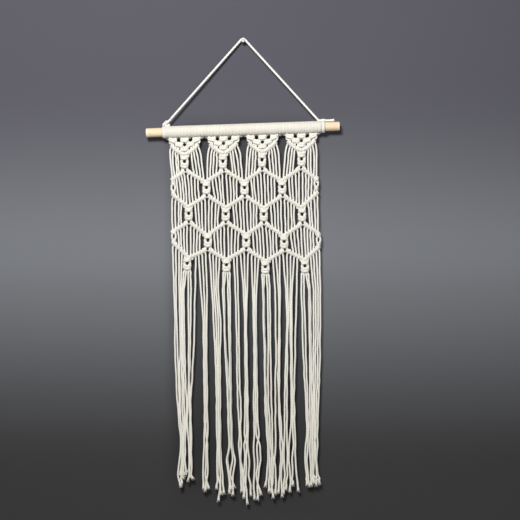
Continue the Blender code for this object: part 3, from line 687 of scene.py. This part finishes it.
def tuft(route, strand):
    """The loose fibres at a strand's cut end, as short thin bundles that open outwards."""
    noise = random.Random(500 + strand)
    tip, neck = Vector(route[-1][:3]), Vector(route[-2][:3])
    down = (tip - neck).normalized()
    side = down.cross(Vector((0, 1, 0))).normalized()
    other = down.cross(side)
    made = []
    for number in range(TUFT_FIBRES):
        turn = math.tau * (number + noise.uniform(-0.3, 0.3)) / TUFT_FIBRES
        out = side * math.cos(turn) + other * math.sin(turn)
        reach, drop = noise.uniform(2.0, 2.9), noise.uniform(1.2, 3.2)
        made.append([
            spot(*(tip - down * 3.0 + out * 1.0)), spot(*(tip + out * 1.6)),
            spot(*(tip + down * drop + out * reach)),
        ])
    return made


# Mesh of a cord ----------------------------------------------------------------------------------


def resample(route, step):
    """A smooth line through the spots of a route, in rings about a step apart."""
    data = np.array(route, float)
    chord = np.linalg.norm(np.diff(data[:, :3], axis=0), axis=1)
    data = data[np.concatenate([[True], chord > 0.05])]
    points = data[:, :3]
    chord = np.linalg.norm(np.diff(points, axis=0), axis=1)
    spans = np.sqrt(chord)
    slope = np.diff(points, axis=0) / spans[:, None]
    tangent = np.empty_like(points)
    tangent[0], tangent[-1] = slope[0], slope[-1]
    weight = (spans[:-1] + spans[1:])[:, None]
    tangent[1:-1] = (slope[:-1] * spans[1:, None] + slope[1:] * spans[:-1, None]) / weight
    counts = np.maximum(1, np.round(chord / step)).astype(int)
    segment = np.repeat(np.arange(len(chord)), counts)
    first = np.repeat(np.cumsum(counts) - counts, counts)
    t = ((np.arange(len(segment)) - first) / counts[segment])[:, None]
    span = spans[segment][:, None]
    line = (
        (2 * t**3 - 3 * t**2 + 1) * points[segment]
        + (t**3 - 2 * t**2 + t) * span * tangent[segment]
        + (3 * t**2 - 2 * t**3) * points[segment + 1]
        + (t**3 - t**2) * span * tangent[segment + 1]
    )
    rest = data[segment, 3:] * (1 - t) + data[segment + 1, 3:] * t
    line = np.vstack([line, points[-1:]])
    return line, np.vstack([rest, data[-1:, 3:]])


def unit(rows):
    return rows / np.maximum(np.linalg.norm(rows, axis=-1, keepdims=True), 1e-9)


def carried_frames(line):
    """Tangents and one side vector at each ring, carried along without turning."""
    tangent = unit(np.gradient(line, axis=0))
    start = np.cross(tangent[0], (1.0, 0.0, 0.0))
    if np.linalg.norm(start) < 0.3:
        start = np.cross(tangent[0], (0.0, 1.0, 0.0))
    side = np.empty_like(line)
    side[0] = start / np.linalg.norm(start)
    for i in range(len(line) - 1):
        across_step = line[i + 1] - line[i]
        size = across_step @ across_step
        turned = side[i] - across_step * (2 / size * (across_step @ side[i]))
        heading = tangent[i] - across_step * (2 / size * (across_step @ tangent[i]))
        left = tangent[i + 1] - heading
        size = left @ left
        if size > 1e-12:
            turned = turned - left * (2 / size * (left @ turned))
        turned -= tangent[i + 1] * (tangent[i + 1] @ turned)
        side[i + 1] = turned / np.linalg.norm(turned)
    return tangent, side


def tube(route, radius, step, lay, lobes=LOBES, sides=SIDES, phase=0.0):
    """Vertices, faces, UVs and ends of a twisted strand along a route (mm), and how round it is."""
    line, rest = resample(route, step)
    tangent, side = carried_frames(line)
    other = np.cross(tangent, side)
    along = np.concatenate([[0], np.cumsum(np.linalg.norm(np.diff(line, axis=0), axis=1))])
    around = math.tau * np.arange(sides) / sides
    angle = around[None, :] + (math.tau * along / lay + phase)[:, None]
    relief = 1 / np.maximum(rest[:, 0], 1.0) ** 2
    size = radius * (1 + (np.resize(np.array(lobes), sides)[None, :] - 1) * relief[:, None])[..., None]
    section = size * (
        np.cos(angle)[..., None] * side[:, None, :] + np.sin(angle)[..., None] * other[:, None, :]
    )
    press = rest[:, 2:5] - tangent * np.sum(rest[:, 2:5] * tangent, axis=1, keepdims=True)
    press = unit(press)
    across_way = np.cross(tangent, press)
    for way, share in ((across_way, rest[:, 0]), (press, rest[:, 1])):
        amount = np.einsum("ijk,ik->ij", section, way) * (share - 1)[:, None]
        section = section + amount[..., None] * way[:, None, :]
    verts = (line[:, None, :] + section).reshape(-1, 3)
    rings = len(line)
    ring, column = np.meshgrid(np.arange(rings - 1), np.arange(sides), indexing="ij")
    after = (column + 1) % sides
    quads = np.stack([
        ring * sides + column, ring * sides + after,
        (ring + 1) * sides + after, (ring + 1) * sides + column,
    ], axis=-1).reshape(-1, 4)
    u0, u1 = column / sides, (column + 1) / sides
    v0, v1 = along[ring] * MM, along[ring + 1] * MM
    uvs = np.stack([
        np.stack([u0, v0], -1), np.stack([u1, v0], -1), np.stack([u1, v1], -1), np.stack([u0, v1], -1),
    ], axis=2).reshape(-1, 2)
    caps = (np.arange(sides)[::-1], (rings - 1) * sides + np.arange(sides))
    return verts, quads, uvs, caps, np.repeat(relief, sides)


def add_object(name, data):
    made = bpy.data.objects.new(name, data)
    bpy.context.scene.collection.objects.link(made)
    return made


def mesh_from(name, tubes, material):
    """One mesh object from several tubes, each with a tone of its own."""
    verts, loops, starts, totals, uvs, tones, reliefs = [], [], [], [], [], [], []
    base = loop = 0
    for number, (points, quads, quad_uvs, caps, relief) in enumerate(tubes):
        reliefs.append(relief)
        tone = random.Random(name + str(number)).random()
        verts.append(points)
        tones.append(np.full(len(points), tone))
        loops.append((quads + base).ravel())
        uvs.append(quad_uvs)
        starts.append(loop + 4 * np.arange(len(quads)))
        totals.append(np.full(len(quads), 4))
        loop += 4 * len(quads)
        for cap in caps:
            loops.append(cap + base)
            uvs.append(np.full((len(cap), 2), 0.5))
            starts.append(np.array([loop]))
            totals.append(np.array([len(cap)]))
            loop += len(cap)
        base += len(points)
    mesh = bpy.data.meshes.new(name)
    mesh.vertices.add(base)
    mesh.vertices.foreach_set("co", (np.concatenate(verts) * MM).astype(np.float32).ravel())
    mesh.loops.add(loop)
    mesh.loops.foreach_set("vertex_index", np.concatenate(loops).astype(np.int32))
    mesh.polygons.add(sum(len(s) for s in starts))
    mesh.polygons.foreach_set("loop_start", np.concatenate(starts).astype(np.int32))
    mesh.polygons.foreach_set("loop_total", np.concatenate(totals).astype(np.int32))
    layer = mesh.uv_layers.new(name="lay")
    layer.data.foreach_set("uv", np.concatenate(uvs).astype(np.float32).ravel())
    tone = mesh.attributes.new("tone", "FLOAT", "POINT")
    tone.data.foreach_set("value", np.concatenate(tones).astype(np.float32))
    relief = mesh.attributes.new("relief", "FLOAT", "POINT")
    relief.data.foreach_set("value", np.concatenate(reliefs).astype(np.float32))
    mesh.update(calc_edges=True)
    mesh.validate()
    mesh.shade_smooth()
    mesh.materials.append(material)
    return add_object(name, mesh)


def dress(piece, slot, *nodes):
    """Rides a piece on the body, in place of these nodes."""
    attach(piece, "root")
    if nodes:
        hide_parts(*nodes)
    return piece


# Materials ---------------------------------------------------------------------------------------


def put(tree, socket, value):
    """Puts a number, a colour or another node's output into a node's input."""
    if isinstance(value, bpy.types.NodeSocket):
        tree.links.new(value, socket)
    elif socket.type == "RGBA":
        socket.default_value = (*value[:3], 1.0)
    else:
        socket.default_value = value


def node(tree, kind, **values):
    """A new shader node with these values in its inputs; an underscore stands for a space."""
    made = tree.nodes.new("ShaderNode" + kind)
    for name, value in values.items():
        put(tree, made.inputs[name.replace("_", " ")], value)
    return made


def maths(tree, operation, *values, clamp=False):
    made = tree.nodes.new("ShaderNodeMath")
    made.operation = operation
    made.use_clamp = clamp
    for socket, value in zip(made.inputs, values):
        put(tree, socket, value)
    return made.outputs[0]


def colour_mix(tree, factor, first, second):
    mix = tree.nodes.new("ShaderNodeMix")
    mix.data_type = "RGBA"
    for index, value in ((0, factor), (6, first), (7, second)):
        put(tree, mix.inputs[index], value)
    return mix.outputs[2]


def faded(tree, value, none, full, soft=True):
    """A mask from a place with none of it to a place with all of it."""
    made = node(tree, "MapRange", Value=value, From_Min=none, From_Max=full)
    if soft:
        made.interpolation_type = "SMOOTHSTEP"
    return made.outputs[0]


def noise_value(tree, scale, detail, place, distortion=0.0):
    made = node(tree, "TexNoise", Scale=scale, Detail=detail, Distortion=distortion, Vector=place)
    return made.outputs[0]


def attribute(tree, name):
    made = tree.nodes.new("ShaderNodeAttribute")
    made.attribute_name = name
    return made.outputs["Fac"]


def object_place(tree):
    """The place on the object, whole and as its X, Y and Z."""
    place = tree.nodes.new("ShaderNodeTexCoord").outputs["Object"]
    return place, node(tree, "SeparateXYZ", Vector=place).outputs


def new_material(name, roughness):
    made = bpy.data.materials.new(name)
    made.use_nodes = True
    shader = made.node_tree.nodes["Principled BSDF"]
    shader.inputs["Roughness"].default_value = roughness
    return made, made.node_tree, shader


def finish_surface(tree, shader, colour, height, strength, distance):
    """Colours a surface and gives it a fine relief."""
    put(tree, shader.inputs["Base Color"], colour)
    bump = node(tree, "Bump", Strength=strength, Distance=distance, Height=height)
    put(tree, shader.inputs["Normal"], bump.outputs[0])


def twisted_fibre_group():
    """Fine fibres and ply grooves that follow a cord's lay, with the grooves' mask for painted shade,
    and soft changes of tone.
    """
    found = bpy.data.node_groups.get("twisted_fibre")
    if found:
        return found
    tree = bpy.data.node_groups.new("twisted_fibre", "ShaderNodeTree")
    for name, default in (("Lay length", 0.014), ("Fibres", 26.0)):
        socket = tree.interface.new_socket(name=name, in_out="INPUT", socket_type="NodeSocketFloat")
        socket.default_value = default
    for name in ("Groove shade", "Tone", "Pressed", "Height"):
        tree.interface.new_socket(name=name, in_out="OUTPUT", socket_type="NodeSocketFloat")
    inputs = tree.nodes.new("NodeGroupInput").outputs
    outputs = tree.nodes.new("NodeGroupOutput").inputs
    uv = tree.nodes.new("ShaderNodeUVMap")
    uv.uv_map = "lay"
    around, along, _ = node(tree, "SeparateXYZ", Vector=uv.outputs["UV"]).outputs
    turn = maths(tree, "DIVIDE", along, inputs["Lay length"])
    fibre = maths(tree, "MULTIPLY", maths(tree, "ADD", around, turn), inputs["Fibres"])
    stretched = node(tree, "CombineXYZ", X=fibre, Y=maths(tree, "MULTIPLY", along, 160.0))
    fine = noise_value(tree, 1.0, 3.0, stretched.outputs[0])
    relief = attribute(tree, "relief")
    # The groove mask shapes the relief, and the cotton's colour also paints shade along it.
    place = maths(tree, "FRACT", maths(tree, "MULTIPLY", around, 3.0))
    off = maths(tree, "ABSOLUTE", maths(tree, "SUBTRACT", place, 0.5))
    near = maths(tree, "SUBTRACT", 1.0, maths(tree, "MULTIPLY", off, 3.2), clamp=True)
    groove = maths(tree, "MULTIPLY", relief, near)
    broad = noise_value(tree, 42.0, 2.0, object_place(tree)[0])
    tone = maths(tree, "ADD", maths(tree, "MULTIPLY", broad, 0.7),
                 maths(tree, "MULTIPLY", attribute(tree, "tone"), 0.3))
    height = maths(tree, "SUBTRACT", fine, maths(tree, "MULTIPLY", groove, 0.7))
    put(tree, outputs["Groove shade"], groove)
    put(tree, outputs["Tone"], tone)
    put(tree, outputs["Pressed"], maths(tree, "SUBTRACT", 1.0, relief))
    put(tree, outputs["Height"], height)
    return tree


def cotton_material(name, colour, shade, lay, sheen):
    """Soft twisted cotton: pale fibres with painted shade between its plies, duller where it is pressed
    and low down.
    """
    found = bpy.data.materials.get(name)
    if found:
        return found
    made, tree, shader = new_material(name, 0.92)
    shader.inputs["Sheen Weight"].default_value = sheen
    shader.inputs["Sheen Roughness"].default_value = 0.6
    shader.inputs["Specular IOR Level"].default_value = 0.18
    fibre = tree.nodes.new("ShaderNodeGroup")
    fibre.node_tree = twisted_fibre_group()
    fibre.inputs["Lay length"].default_value = lay
    spread = maths(tree, "MULTIPLY", faded(tree, fibre.outputs["Tone"], 0.3, 0.75, soft=False), 0.25)
    pressed = maths(tree, "MULTIPLY", fibre.outputs["Pressed"], 0.75)
    low = maths(tree, "MULTIPLY", faded(tree, object_place(tree)[1]["Z"], -0.36, -0.66), 0.4)
    dull = maths(tree, "ADD", maths(tree, "ADD", spread, pressed), low, clamp=True)
    base = colour_mix(tree, dull, colour, shade)
    # Painted shade: the ply grooves are mixed towards the shade colour.
    groove_painted_shade = colour_mix(tree, maths(tree, "MULTIPLY", fibre.outputs["Groove shade"], 0.5), base, shade)
    finish_surface(tree, shader, groove_painted_shade, fibre.outputs["Height"], 0.5, 0.0004)
    return made


def wood_material(settings):
    """Pale birch with grain along the dowel, paler near its cut ends."""
    made, tree, shader = new_material("turned_birch", 0.55)
    place, axes = object_place(tree)
    turned = node(tree, "Mapping", Vector=place, Rotation=(0, DOWEL_TILT, 0), Scale=(14.0, 330.0, 330.0))
    grain = noise_value(tree, 1.0, 5.0, turned.outputs[0], 0.4)
    grained = colour_mix(tree, faded(tree, grain, 0.35, 0.75, soft=False), settings.early, settings.late)
    end = DOWEL_LENGTH * MM / 2
    worn = faded(tree, maths(tree, "ABSOLUTE", axes["X"]), end - 0.005, end - 0.0015, soft=False)
    pale = colour_mix(tree, maths(tree, "MULTIPLY", worn, 0.6), grained, (0.92, 0.85, 0.74))
    rough = maths(tree, "ADD", 0.45, maths(tree, "MULTIPLY", grain, 0.25))
    put(tree, shader.inputs["Roughness"], rough)
    finish_surface(tree, shader, pale, grain, 0.25, 0.0003)
    return made


def steel_material(settings):
    """Nail steel with a faint drawn finish."""
    made, tree, shader = new_material("drawn_steel", 0.5)
    shader.inputs["Metallic"].default_value = 1.0
    worn = noise_value(tree, 900.0, 4.0, object_place(tree)[0])
    dull = [c * 0.7 for c in settings.steel]
    put(tree, shader.inputs["Base Color"], colour_mix(tree, worn, settings.steel, dull))
    rough = maths(tree, "ADD", 0.42, maths(tree, "MULTIPLY", worn, 0.25))
    put(tree, shader.inputs["Roughness"], rough)
    return made


def backdrop_material(settings):
    """A dark wall seen from the front only, with a painted glow of light palest in its middle and a
    painted shadow just behind the hanging.
    """
    made, tree, shader = new_material("backdrop", 0.9)
    _, axes = object_place(tree)
    height = maths(tree, "ADD", axes["Y"], WALL_CENTRE_Z)
    # The ramp paints a soft pool of light: darkest low down, palest across the middle, darker again at
    # the top.
    ramp = node(tree, "ValToRGB", Fac=maths(tree, "ADD", height, 1.0))
    ramp.color_ramp.interpolation = "B_SPLINE"
    low, middle, high = settings.background_low, settings.background_middle, settings.background_high
    stops = ramp.color_ramp.elements
    stops[0].position, stops[0].color = 0.30, (*low, 1.0)
    stops[1].position, stops[1].color = 0.98, (*high, 1.0)
    for position, colour in ((0.42, low), (0.62, middle), (0.72, middle), (0.86, high)):
        stops.new(position).color = (*colour, 1.0)
    # Painted shadow: the wall is mixed towards near black just behind the hanging, fading out at its
    # sides, top and bottom.
    shade = settings.shade_behind
    for mask in (
        faded(tree, maths(tree, "ABSOLUTE", axes["X"]), 0.13, 0.08),
        faded(tree, height, -0.10, -0.17), faded(tree, height, -0.76, -0.64),
    ):
        shade = maths(tree, "MULTIPLY", mask, shade)
    shaded = colour_mix(tree, shade, ramp.outputs["Color"], (0.01, 0.01, 0.011))
    put(tree, shader.inputs["Base Color"], shaded)
    clear = tree.nodes.new("ShaderNodeBsdfTransparent")
    side = tree.nodes.new("ShaderNodeNewGeometry")
    mix = tree.nodes.new("ShaderNodeMixShader")
    surfaces = (side.outputs["Backfacing"], shader.outputs[0], clear.outputs[0])
    for socket, value in zip(mix.inputs, surfaces):
        put(tree, socket, value)
    put(tree, tree.nodes["Material Output"].inputs["Surface"], mix.outputs[0])
    return made


def strand_cotton(scene):
    s = scene.hanging_strand
    return cotton_material("twisted_cotton", s.colour, s.shade, s.lay, 0.25)


def cord_cotton(scene):
    s = scene.hanging_strand
    # This shade colour also paints shade in the cord's ply grooves.
    shade = [0.86 * c for c in s.cord_colour]
    return cotton_material("twisted_white_cotton", s.cord_colour, shade, CORD_LAY * MM, 0.15)


# Operators ---------------------------------------------------------------------------------------


def deselect():
    if bpy.context.object and bpy.context.object.mode != "OBJECT":
        bpy.ops.object.mode_set(mode="OBJECT")
    bpy.ops.object.select_all(action="DESELECT")


def soften(piece, width):
    """Rounds a turned piece's edges by a width in millimetres."""
    rounded = piece.modifiers.new("Rounded", "BEVEL")
    rounded.width = width * MM
    rounded.segments = 3
    rounded.limit_method = "ANGLE"
    bpy.ops.object.modifier_apply(modifier=rounded.name)
    bpy.ops.object.shade_smooth_by_angle(angle=math.radians(40))


class HANGING_OT_nail(bpy.types.Operator):
    """Turn the nail: a round shank and a wide flat head with a soft edge"""

    bl_idname = "hanging.nail"
    bl_label = "Nail"

    def execute(self, context):
        deselect()
        length, head = NAIL_LENGTH * MM, NAIL_HEAD_LENGTH * MM
        bpy.ops.mesh.primitive_cylinder_add(
            vertices=48, radius=NAIL_SHANK_RADIUS * MM, depth=length - head,
            location=(0, -(length - head) / 2, 0), rotation=(math.pi / 2, 0, 0),
        )
        nail = context.object
        nail.name = nail.data.name = "wall_nail_turned"
        bpy.ops.object.transform_apply(location=True, rotation=True, scale=True)
        bpy.ops.object.mode_set(mode="EDIT")
        bpy.ops.mesh.select_mode(type="FACE")
        bpy.ops.mesh.select_all(action="DESELECT")
        bpy.ops.object.mode_set(mode="OBJECT")
        for face in nail.data.polygons:
            face.select = face.normal.y < -0.9
        bpy.ops.object.mode_set(mode="EDIT")
        spread = NAIL_HEAD_RADIUS / NAIL_SHANK_RADIUS
        bpy.ops.mesh.extrude_region_move()
        bpy.ops.transform.resize(value=(spread, 1, spread))
        bpy.ops.mesh.extrude_region_move(TRANSFORM_OT_translate={"value": (0, -head, 0)})
        bpy.ops.mesh.inset(thickness=0.5 * MM)
        bpy.ops.transform.translate(value=(0, -0.18 * MM, 0))
        bpy.ops.mesh.inset(thickness=1.0 * MM)
        bpy.ops.transform.translate(value=(0, 0.12 * MM, 0))
        bpy.ops.object.mode_set(mode="OBJECT")
        soften(nail, 0.18)
        nail.data.materials.append(steel_material(context.scene.hanging_wood))
        dress(nail, "nail_steel", "wall_nail")
        return {"FINISHED"}


class HANGING_OT_dowel(bpy.types.Operator):
    """Turn the wooden dowel, with softened ends"""

    bl_idname = "hanging.dowel"
    bl_label = "Dowel"

    def execute(self, context):
        deselect()
        bpy.ops.mesh.primitive_cylinder_add(
            vertices=72, radius=DOWEL_RADIUS * MM, depth=DOWEL_LENGTH * MM,
            location=(DOWEL_CENTRE_X * MM, PANEL_Y * MM, DOWEL_CENTRE_Z * MM),
            rotation=(0, math.pi / 2 - DOWEL_TILT, 0),
        )
        dowel = context.object
        dowel.name = dowel.data.name = "birch_dowel"
        bpy.ops.object.transform_apply(location=True, rotation=True, scale=True)
        for face in dowel.data.polygons:
            face.select = abs(face.normal.dot(ALONG)) > 0.9
        bpy.ops.object.mode_set(mode="EDIT")
        bpy.ops.mesh.select_mode(type="FACE")
        bpy.ops.mesh.inset(thickness=2.4 * MM, use_individual=True)
        bpy.ops.mesh.inset(thickness=2.2 * MM, use_individual=True)
        bpy.ops.object.mode_set(mode="OBJECT")
        soften(dowel, 0.8)
        dowel.data.materials.append(wood_material(context.scene.hanging_wood))
        dress(dowel, "birch_wood", "dowel")
        return {"FINISHED"}


def cord_bend():
    over = NAIL_SHANK_RADIUS + CORD_RADIUS + GAP
    return [
        Vector((over * math.cos(math.radians(a)), CORD_ON_NAIL_Y, over * math.sin(math.radians(a))))
        for a in CORD_BEND
    ]


def cord_route():
    """The hanging cord's points, from the left tie over the nail to the right tie."""
    bend = cord_bend()
    left = Vector((LEFT_TIE.cord_x, PANEL_Y, LEFT_TIE.cord_z))
    right = Vector((RIGHT_TIE.cord_x, PANEL_Y, RIGHT_TIE.cord_z))
    shares = [index / CORD_SPAN_POINTS for index in range(CORD_SPAN_POINTS)]
    path = [left.lerp(bend[0], share) for share in shares]
    path += bend
    return path + [right.lerp(bend[-1], share) for share in reversed(shares)]


def cord_tube(route):
    return tube(route, CORD_RADIUS * 0.99, 1.3, CORD_LAY)


class HANGING_OT_cord(bpy.types.Operator):
    """Lay the hanging cord over the nail, after its two ties"""

    bl_idname = "hanging.cord"
    bl_label = "Hanging Cord"

    def execute(self, context):
        path = cord_route()
        made = mesh_from("twisted_hanging_cord", [cord_tube([spot(*p) for p in path])],
                         cord_cotton(context.scene))
        dress(made, "white_cotton_cord", "hanging_cord")
        return {"FINISHED"}


def turn_spots(x, first, last, shift):
    """Spots round the dowel from one angle to another, moving sideways by shift."""
    count = abs(last - first) // 24
    along = (x - BAND_MIDDLE.x) / math.cos(DOWEL_TILT)
    return [
        round_dowel(along + shift * i / count, first + (last - first) * i / count, TURN_REACH, 1.5, 0.62)
        for i in range(count + 1)
    ]


def tie_lead(tie, nail_end, steps):
    """The first spots of a tie, in line with the cord that comes down from the nail."""
    end = Vector((tie.cord_x, PANEL_Y, tie.cord_z))
    along = (end - nail_end).normalized()
    return [spot(*(end + along * step)) for step in steps]


class HANGING_OT_ties(bpy.types.Operator):
    """Tie the hanging cord's two ends to the dowel"""

    bl_idname = "hanging.ties"
    bl_label = "Ties"

    def execute(self, context):
        bend = cord_bend()
        left = tie_lead(LEFT_TIE, bend[0], (GAP, 3.0))
        right = tie_lead(RIGHT_TIE, bend[-1], (GAP, 2.0, 4.0))
        knot = Vector((LEFT_KNOT.x, PANEL_Y - 0.6, LEFT_KNOT.z))
        for turn in (math.pi + 0.45 - math.tau * 0.88 * step / 22 for step in range(23)):
            left.append(spot(
                knot.x + 1.65 * (math.sin(turn) + 2 * math.sin(2 * turn)),
                knot.y + 2.5 * math.sin(3 * turn),
                knot.z - 1.45 * (math.cos(turn) - 2 * math.cos(2 * turn)),
            ))
        for x, thick in TAIL:
            z = dowel_axis_z(x) + DOWEL_RADIUS + CORD_RADIUS * thick + 0.6
            right.append(spot(x, PANEL_Y - 0.6, z, thick, thick))
        for side, route in (("left", left), ("right", right)):
            made = mesh_from(side + "_tie_knot", [cord_tube(route)], cord_cotton(context.scene))
            dress(made, "white_cotton_cord", side + "_tie")
        for side, tie, shift in (("left", LEFT_TIE, 0.9), ("right", RIGHT_TIE, -0.6)):
            turns = cord_tube(turn_spots(tie.turn_x, 70, -290, shift))
            made = mesh_from(side + "_tie_turns", [turns], strand_cotton(context.scene))
            dress(made, "cotton_cord", side + "_tie")
        return {"FINISHED"}


def bar_cores(row):
    """The leads inside one zigzag bar, which dip under the small hole at each peak."""
    made = []
    for a, b in zip(ZIGZAGS[row], ZIGZAGS[row][1:]):
        drop_a, drop_b = (0.0, PEAK_DROP) if b.z > a.z else (PEAK_DROP, 0.0)
        route = [spot(a.x, PANEL_Y, a.z - drop_a)]
        for share in (0.15, 0.5, 0.85):
            route.append(spot(a.x + (b.x - a.x) * share, PANEL_Y, a.z + (b.z - a.z) * share))
        made.append(route + [spot(b.x, PANEL_Y, b.z - drop_b)])
    return made


def v_core(motif):
    """The leads inside a motif's V bar."""
    made = []
    for side in (-1, 1):
        across = [motif_x(motif) + side * p.x for p in V_ARM]
        made.append([spot(x, PANEL_Y, dowel_axis_z(x) + p.z) for x, p in zip(across, V_ARM)])
    return made


def strand_tube(scene, route, strand):
    s = scene.hanging_strand
    return tube(route, s.radius / MM, s.ring_step / MM, s.lay / MM, phase=strand * 1.7)


def core_tubes(scene, cores):
    lay = scene.hanging_strand.lay / MM
    return [tube(core, BAR_CORE_RADIUS, 3.0, lay, ROUND, 8) for core in cores]


class HANGING_OT_panel(bpy.types.Operator):
    """Knot the panel, one piece for each motif"""

    bl_idname = "hanging.panel"
    bl_label = "Knotted Panel"

    def execute(self, context):
        scene = context.scene
        for motif in range(MOTIFS):
            strands = range(motif * STRANDS_PER_MOTIF, (motif + 1) * STRANDS_PER_MOTIF)
            tubes = [strand_tube(scene, panel_route(strand), strand) for strand in strands]
            tubes += core_tubes(scene, v_core(motif))
            for row in range(3):
                tubes += core_tubes(scene, bar_cores(row)[2 * motif: 2 * motif + 2])
            made = mesh_from(f"knotted_panel_{motif + 1}", tubes, strand_cotton(scene))
            dress(made, "cotton_cord", "macrame_panel")
        return {"FINISHED"}


class HANGING_OT_fringe(bpy.types.Operator):
    """Knot the last bar and hang the fringe from it, in bundles"""

    bl_idname = "hanging.fringe"
    bl_label = "Fringe"

    def execute(self, context):
        scene = context.scene
        lay = scene.hanging_strand.lay / MM
        for motif in range(MOTIFS):
            tubes = []
            for bundle in (b for b in BUNDLES if b.first // STRANDS_PER_MOTIF == motif):
                for index in range(bundle.count):
                    strand = bundle.first + index
                    route = fringe_route(bundle, index)
                    tubes.append(strand_tube(scene, route, strand))
                    tubes += [tube(fibre, 0.42, 2.5, lay, ROUND, 5) for fibre in tuft(route, strand)]
            tubes += core_tubes(scene, bar_cores(3)[2 * motif: 2 * motif + 2])
            made = mesh_from(f"fringe_{motif + 1}", tubes, strand_cotton(scene))
            dress(made, "cotton_cord", "fringe")
        return {"FINISHED"}


class HANGING_OT_stage(bpy.types.Operator):
    """Set the camera, the lights, the background and a plain floor"""

    bl_idname = "hanging.stage"
    bl_label = "Stage"

    def execute(self, context):
        s = context.scene.hanging_stage
        deselect()
        frame_width, middle_x, middle_z = 0.806, 0.02635, -0.3404
        data = bpy.data.cameras.new("camera")
        data.lens = s.lens
        data.sensor_width = 36.0
        distance = frame_width * s.lens / data.sensor_width
        camera = add_object("camera", data)
        camera.location = (middle_x, PANEL_Y * MM - distance, middle_z)
        camera.rotation_euler = (math.pi / 2, 0, 0)
        context.scene.camera = camera
        lights = (
            ("key", s.key_power, (-0.30, -1.5, 0.45), 0.4, (1.0, 0.985, 0.95)),
            ("fill", s.fill_power, (0.9, -1.5, -0.45), 1.4, (0.97, 0.98, 1.0)),
            ("back", 1.6 * s.fill_power, (0.3, 1.6, 0.6), 1.4, (1.0, 1.0, 1.0)),
        )
        for name, power, place, size, colour in lights:
            light = bpy.data.lights.new(name, "AREA")
            light.energy = power
            light.size = size
            light.color = colour
            lamp = add_object(name, light)
            lamp.location = place
            aim = Vector((0, 0, -0.33)) - Vector(place)
            lamp.rotation_euler = aim.to_track_quat("-Z", "Y").to_euler()
        bpy.ops.mesh.primitive_plane_add(size=2.4, location=(0, 0, -1.3))
        floor = context.object
        floor.name = "floor"
        made, _, shader = new_material("pale_floor", 0.8)
        shader.inputs["Base Color"].default_value = (*s.floor, 1.0)
        floor.data.materials.append(made)
        bpy.ops.mesh.primitive_plane_add(
            size=3.0, location=(0, 0.0008, WALL_CENTRE_Z), rotation=(math.pi / 2, 0, 0),
        )
        wall = context.object
        wall.name = "backdrop"
        wall.data.materials.append(backdrop_material(s))
        wall.visible_shadow = False
        world = bpy.data.worlds.new("studio")
        world.use_nodes = True
        background = world.node_tree.nodes["Background"]
        background.inputs["Color"].default_value = (*s.surround, 1.0)
        context.scene.world = world
        context.scene.view_settings.view_transform = "Standard"
        return {"FINISHED"}


class HANGING_PT_pieces(bpy.types.Panel):
    """Lists the pieces of the wall hanging"""

    bl_idname = "HANGING_PT_pieces"
    bl_label = "Knotted Wall Hanging"
    bl_space_type = "VIEW_3D"
    bl_region_type = "UI"
    bl_category = "Hanging"

    def draw(self, context):
        for group in ("hanging_strand", "hanging_wood", "hanging_stage"):
            settings = getattr(context.scene, group)
            box = self.layout.box()
            for name in settings.__annotations__:
                box.prop(settings, name)
        for operator in ORDER:
            self.layout.operator(operator)


ORDER = (
    "hanging.stage", "hanging.ties", "hanging.cord", "hanging.nail", "hanging.dowel",
    "hanging.panel", "hanging.fringe",
)
CLASSES = (
    StrandSettings, WoodSettings, StageSettings, HANGING_OT_stage, HANGING_OT_ties, HANGING_OT_cord,
    HANGING_OT_nail, HANGING_OT_dowel, HANGING_OT_panel, HANGING_OT_fringe, HANGING_PT_pieces,
)


def register():
    for cls in CLASSES:
        bpy.utils.register_class(cls)
    bpy.types.Scene.hanging_strand = bpy.props.PointerProperty(type=StrandSettings)
    bpy.types.Scene.hanging_wood = bpy.props.PointerProperty(type=WoodSettings)
    bpy.types.Scene.hanging_stage = bpy.props.PointerProperty(type=StageSettings)


def unregister():
    for name in ("hanging_stage", "hanging_wood", "hanging_strand"):
        delattr(bpy.types.Scene, name)
    for cls in reversed(CLASSES):
        bpy.utils.unregister_class(cls)


def main():
    register()
    bpy.ops.hanging.stage()
    bpy.ops.hanging.ties()
    bpy.ops.hanging.cord()
    bpy.ops.hanging.nail()
    bpy.ops.hanging.dowel()
    bpy.ops.hanging.panel()
    bpy.ops.hanging.fringe()


if __name__ == "__main__":
    main()
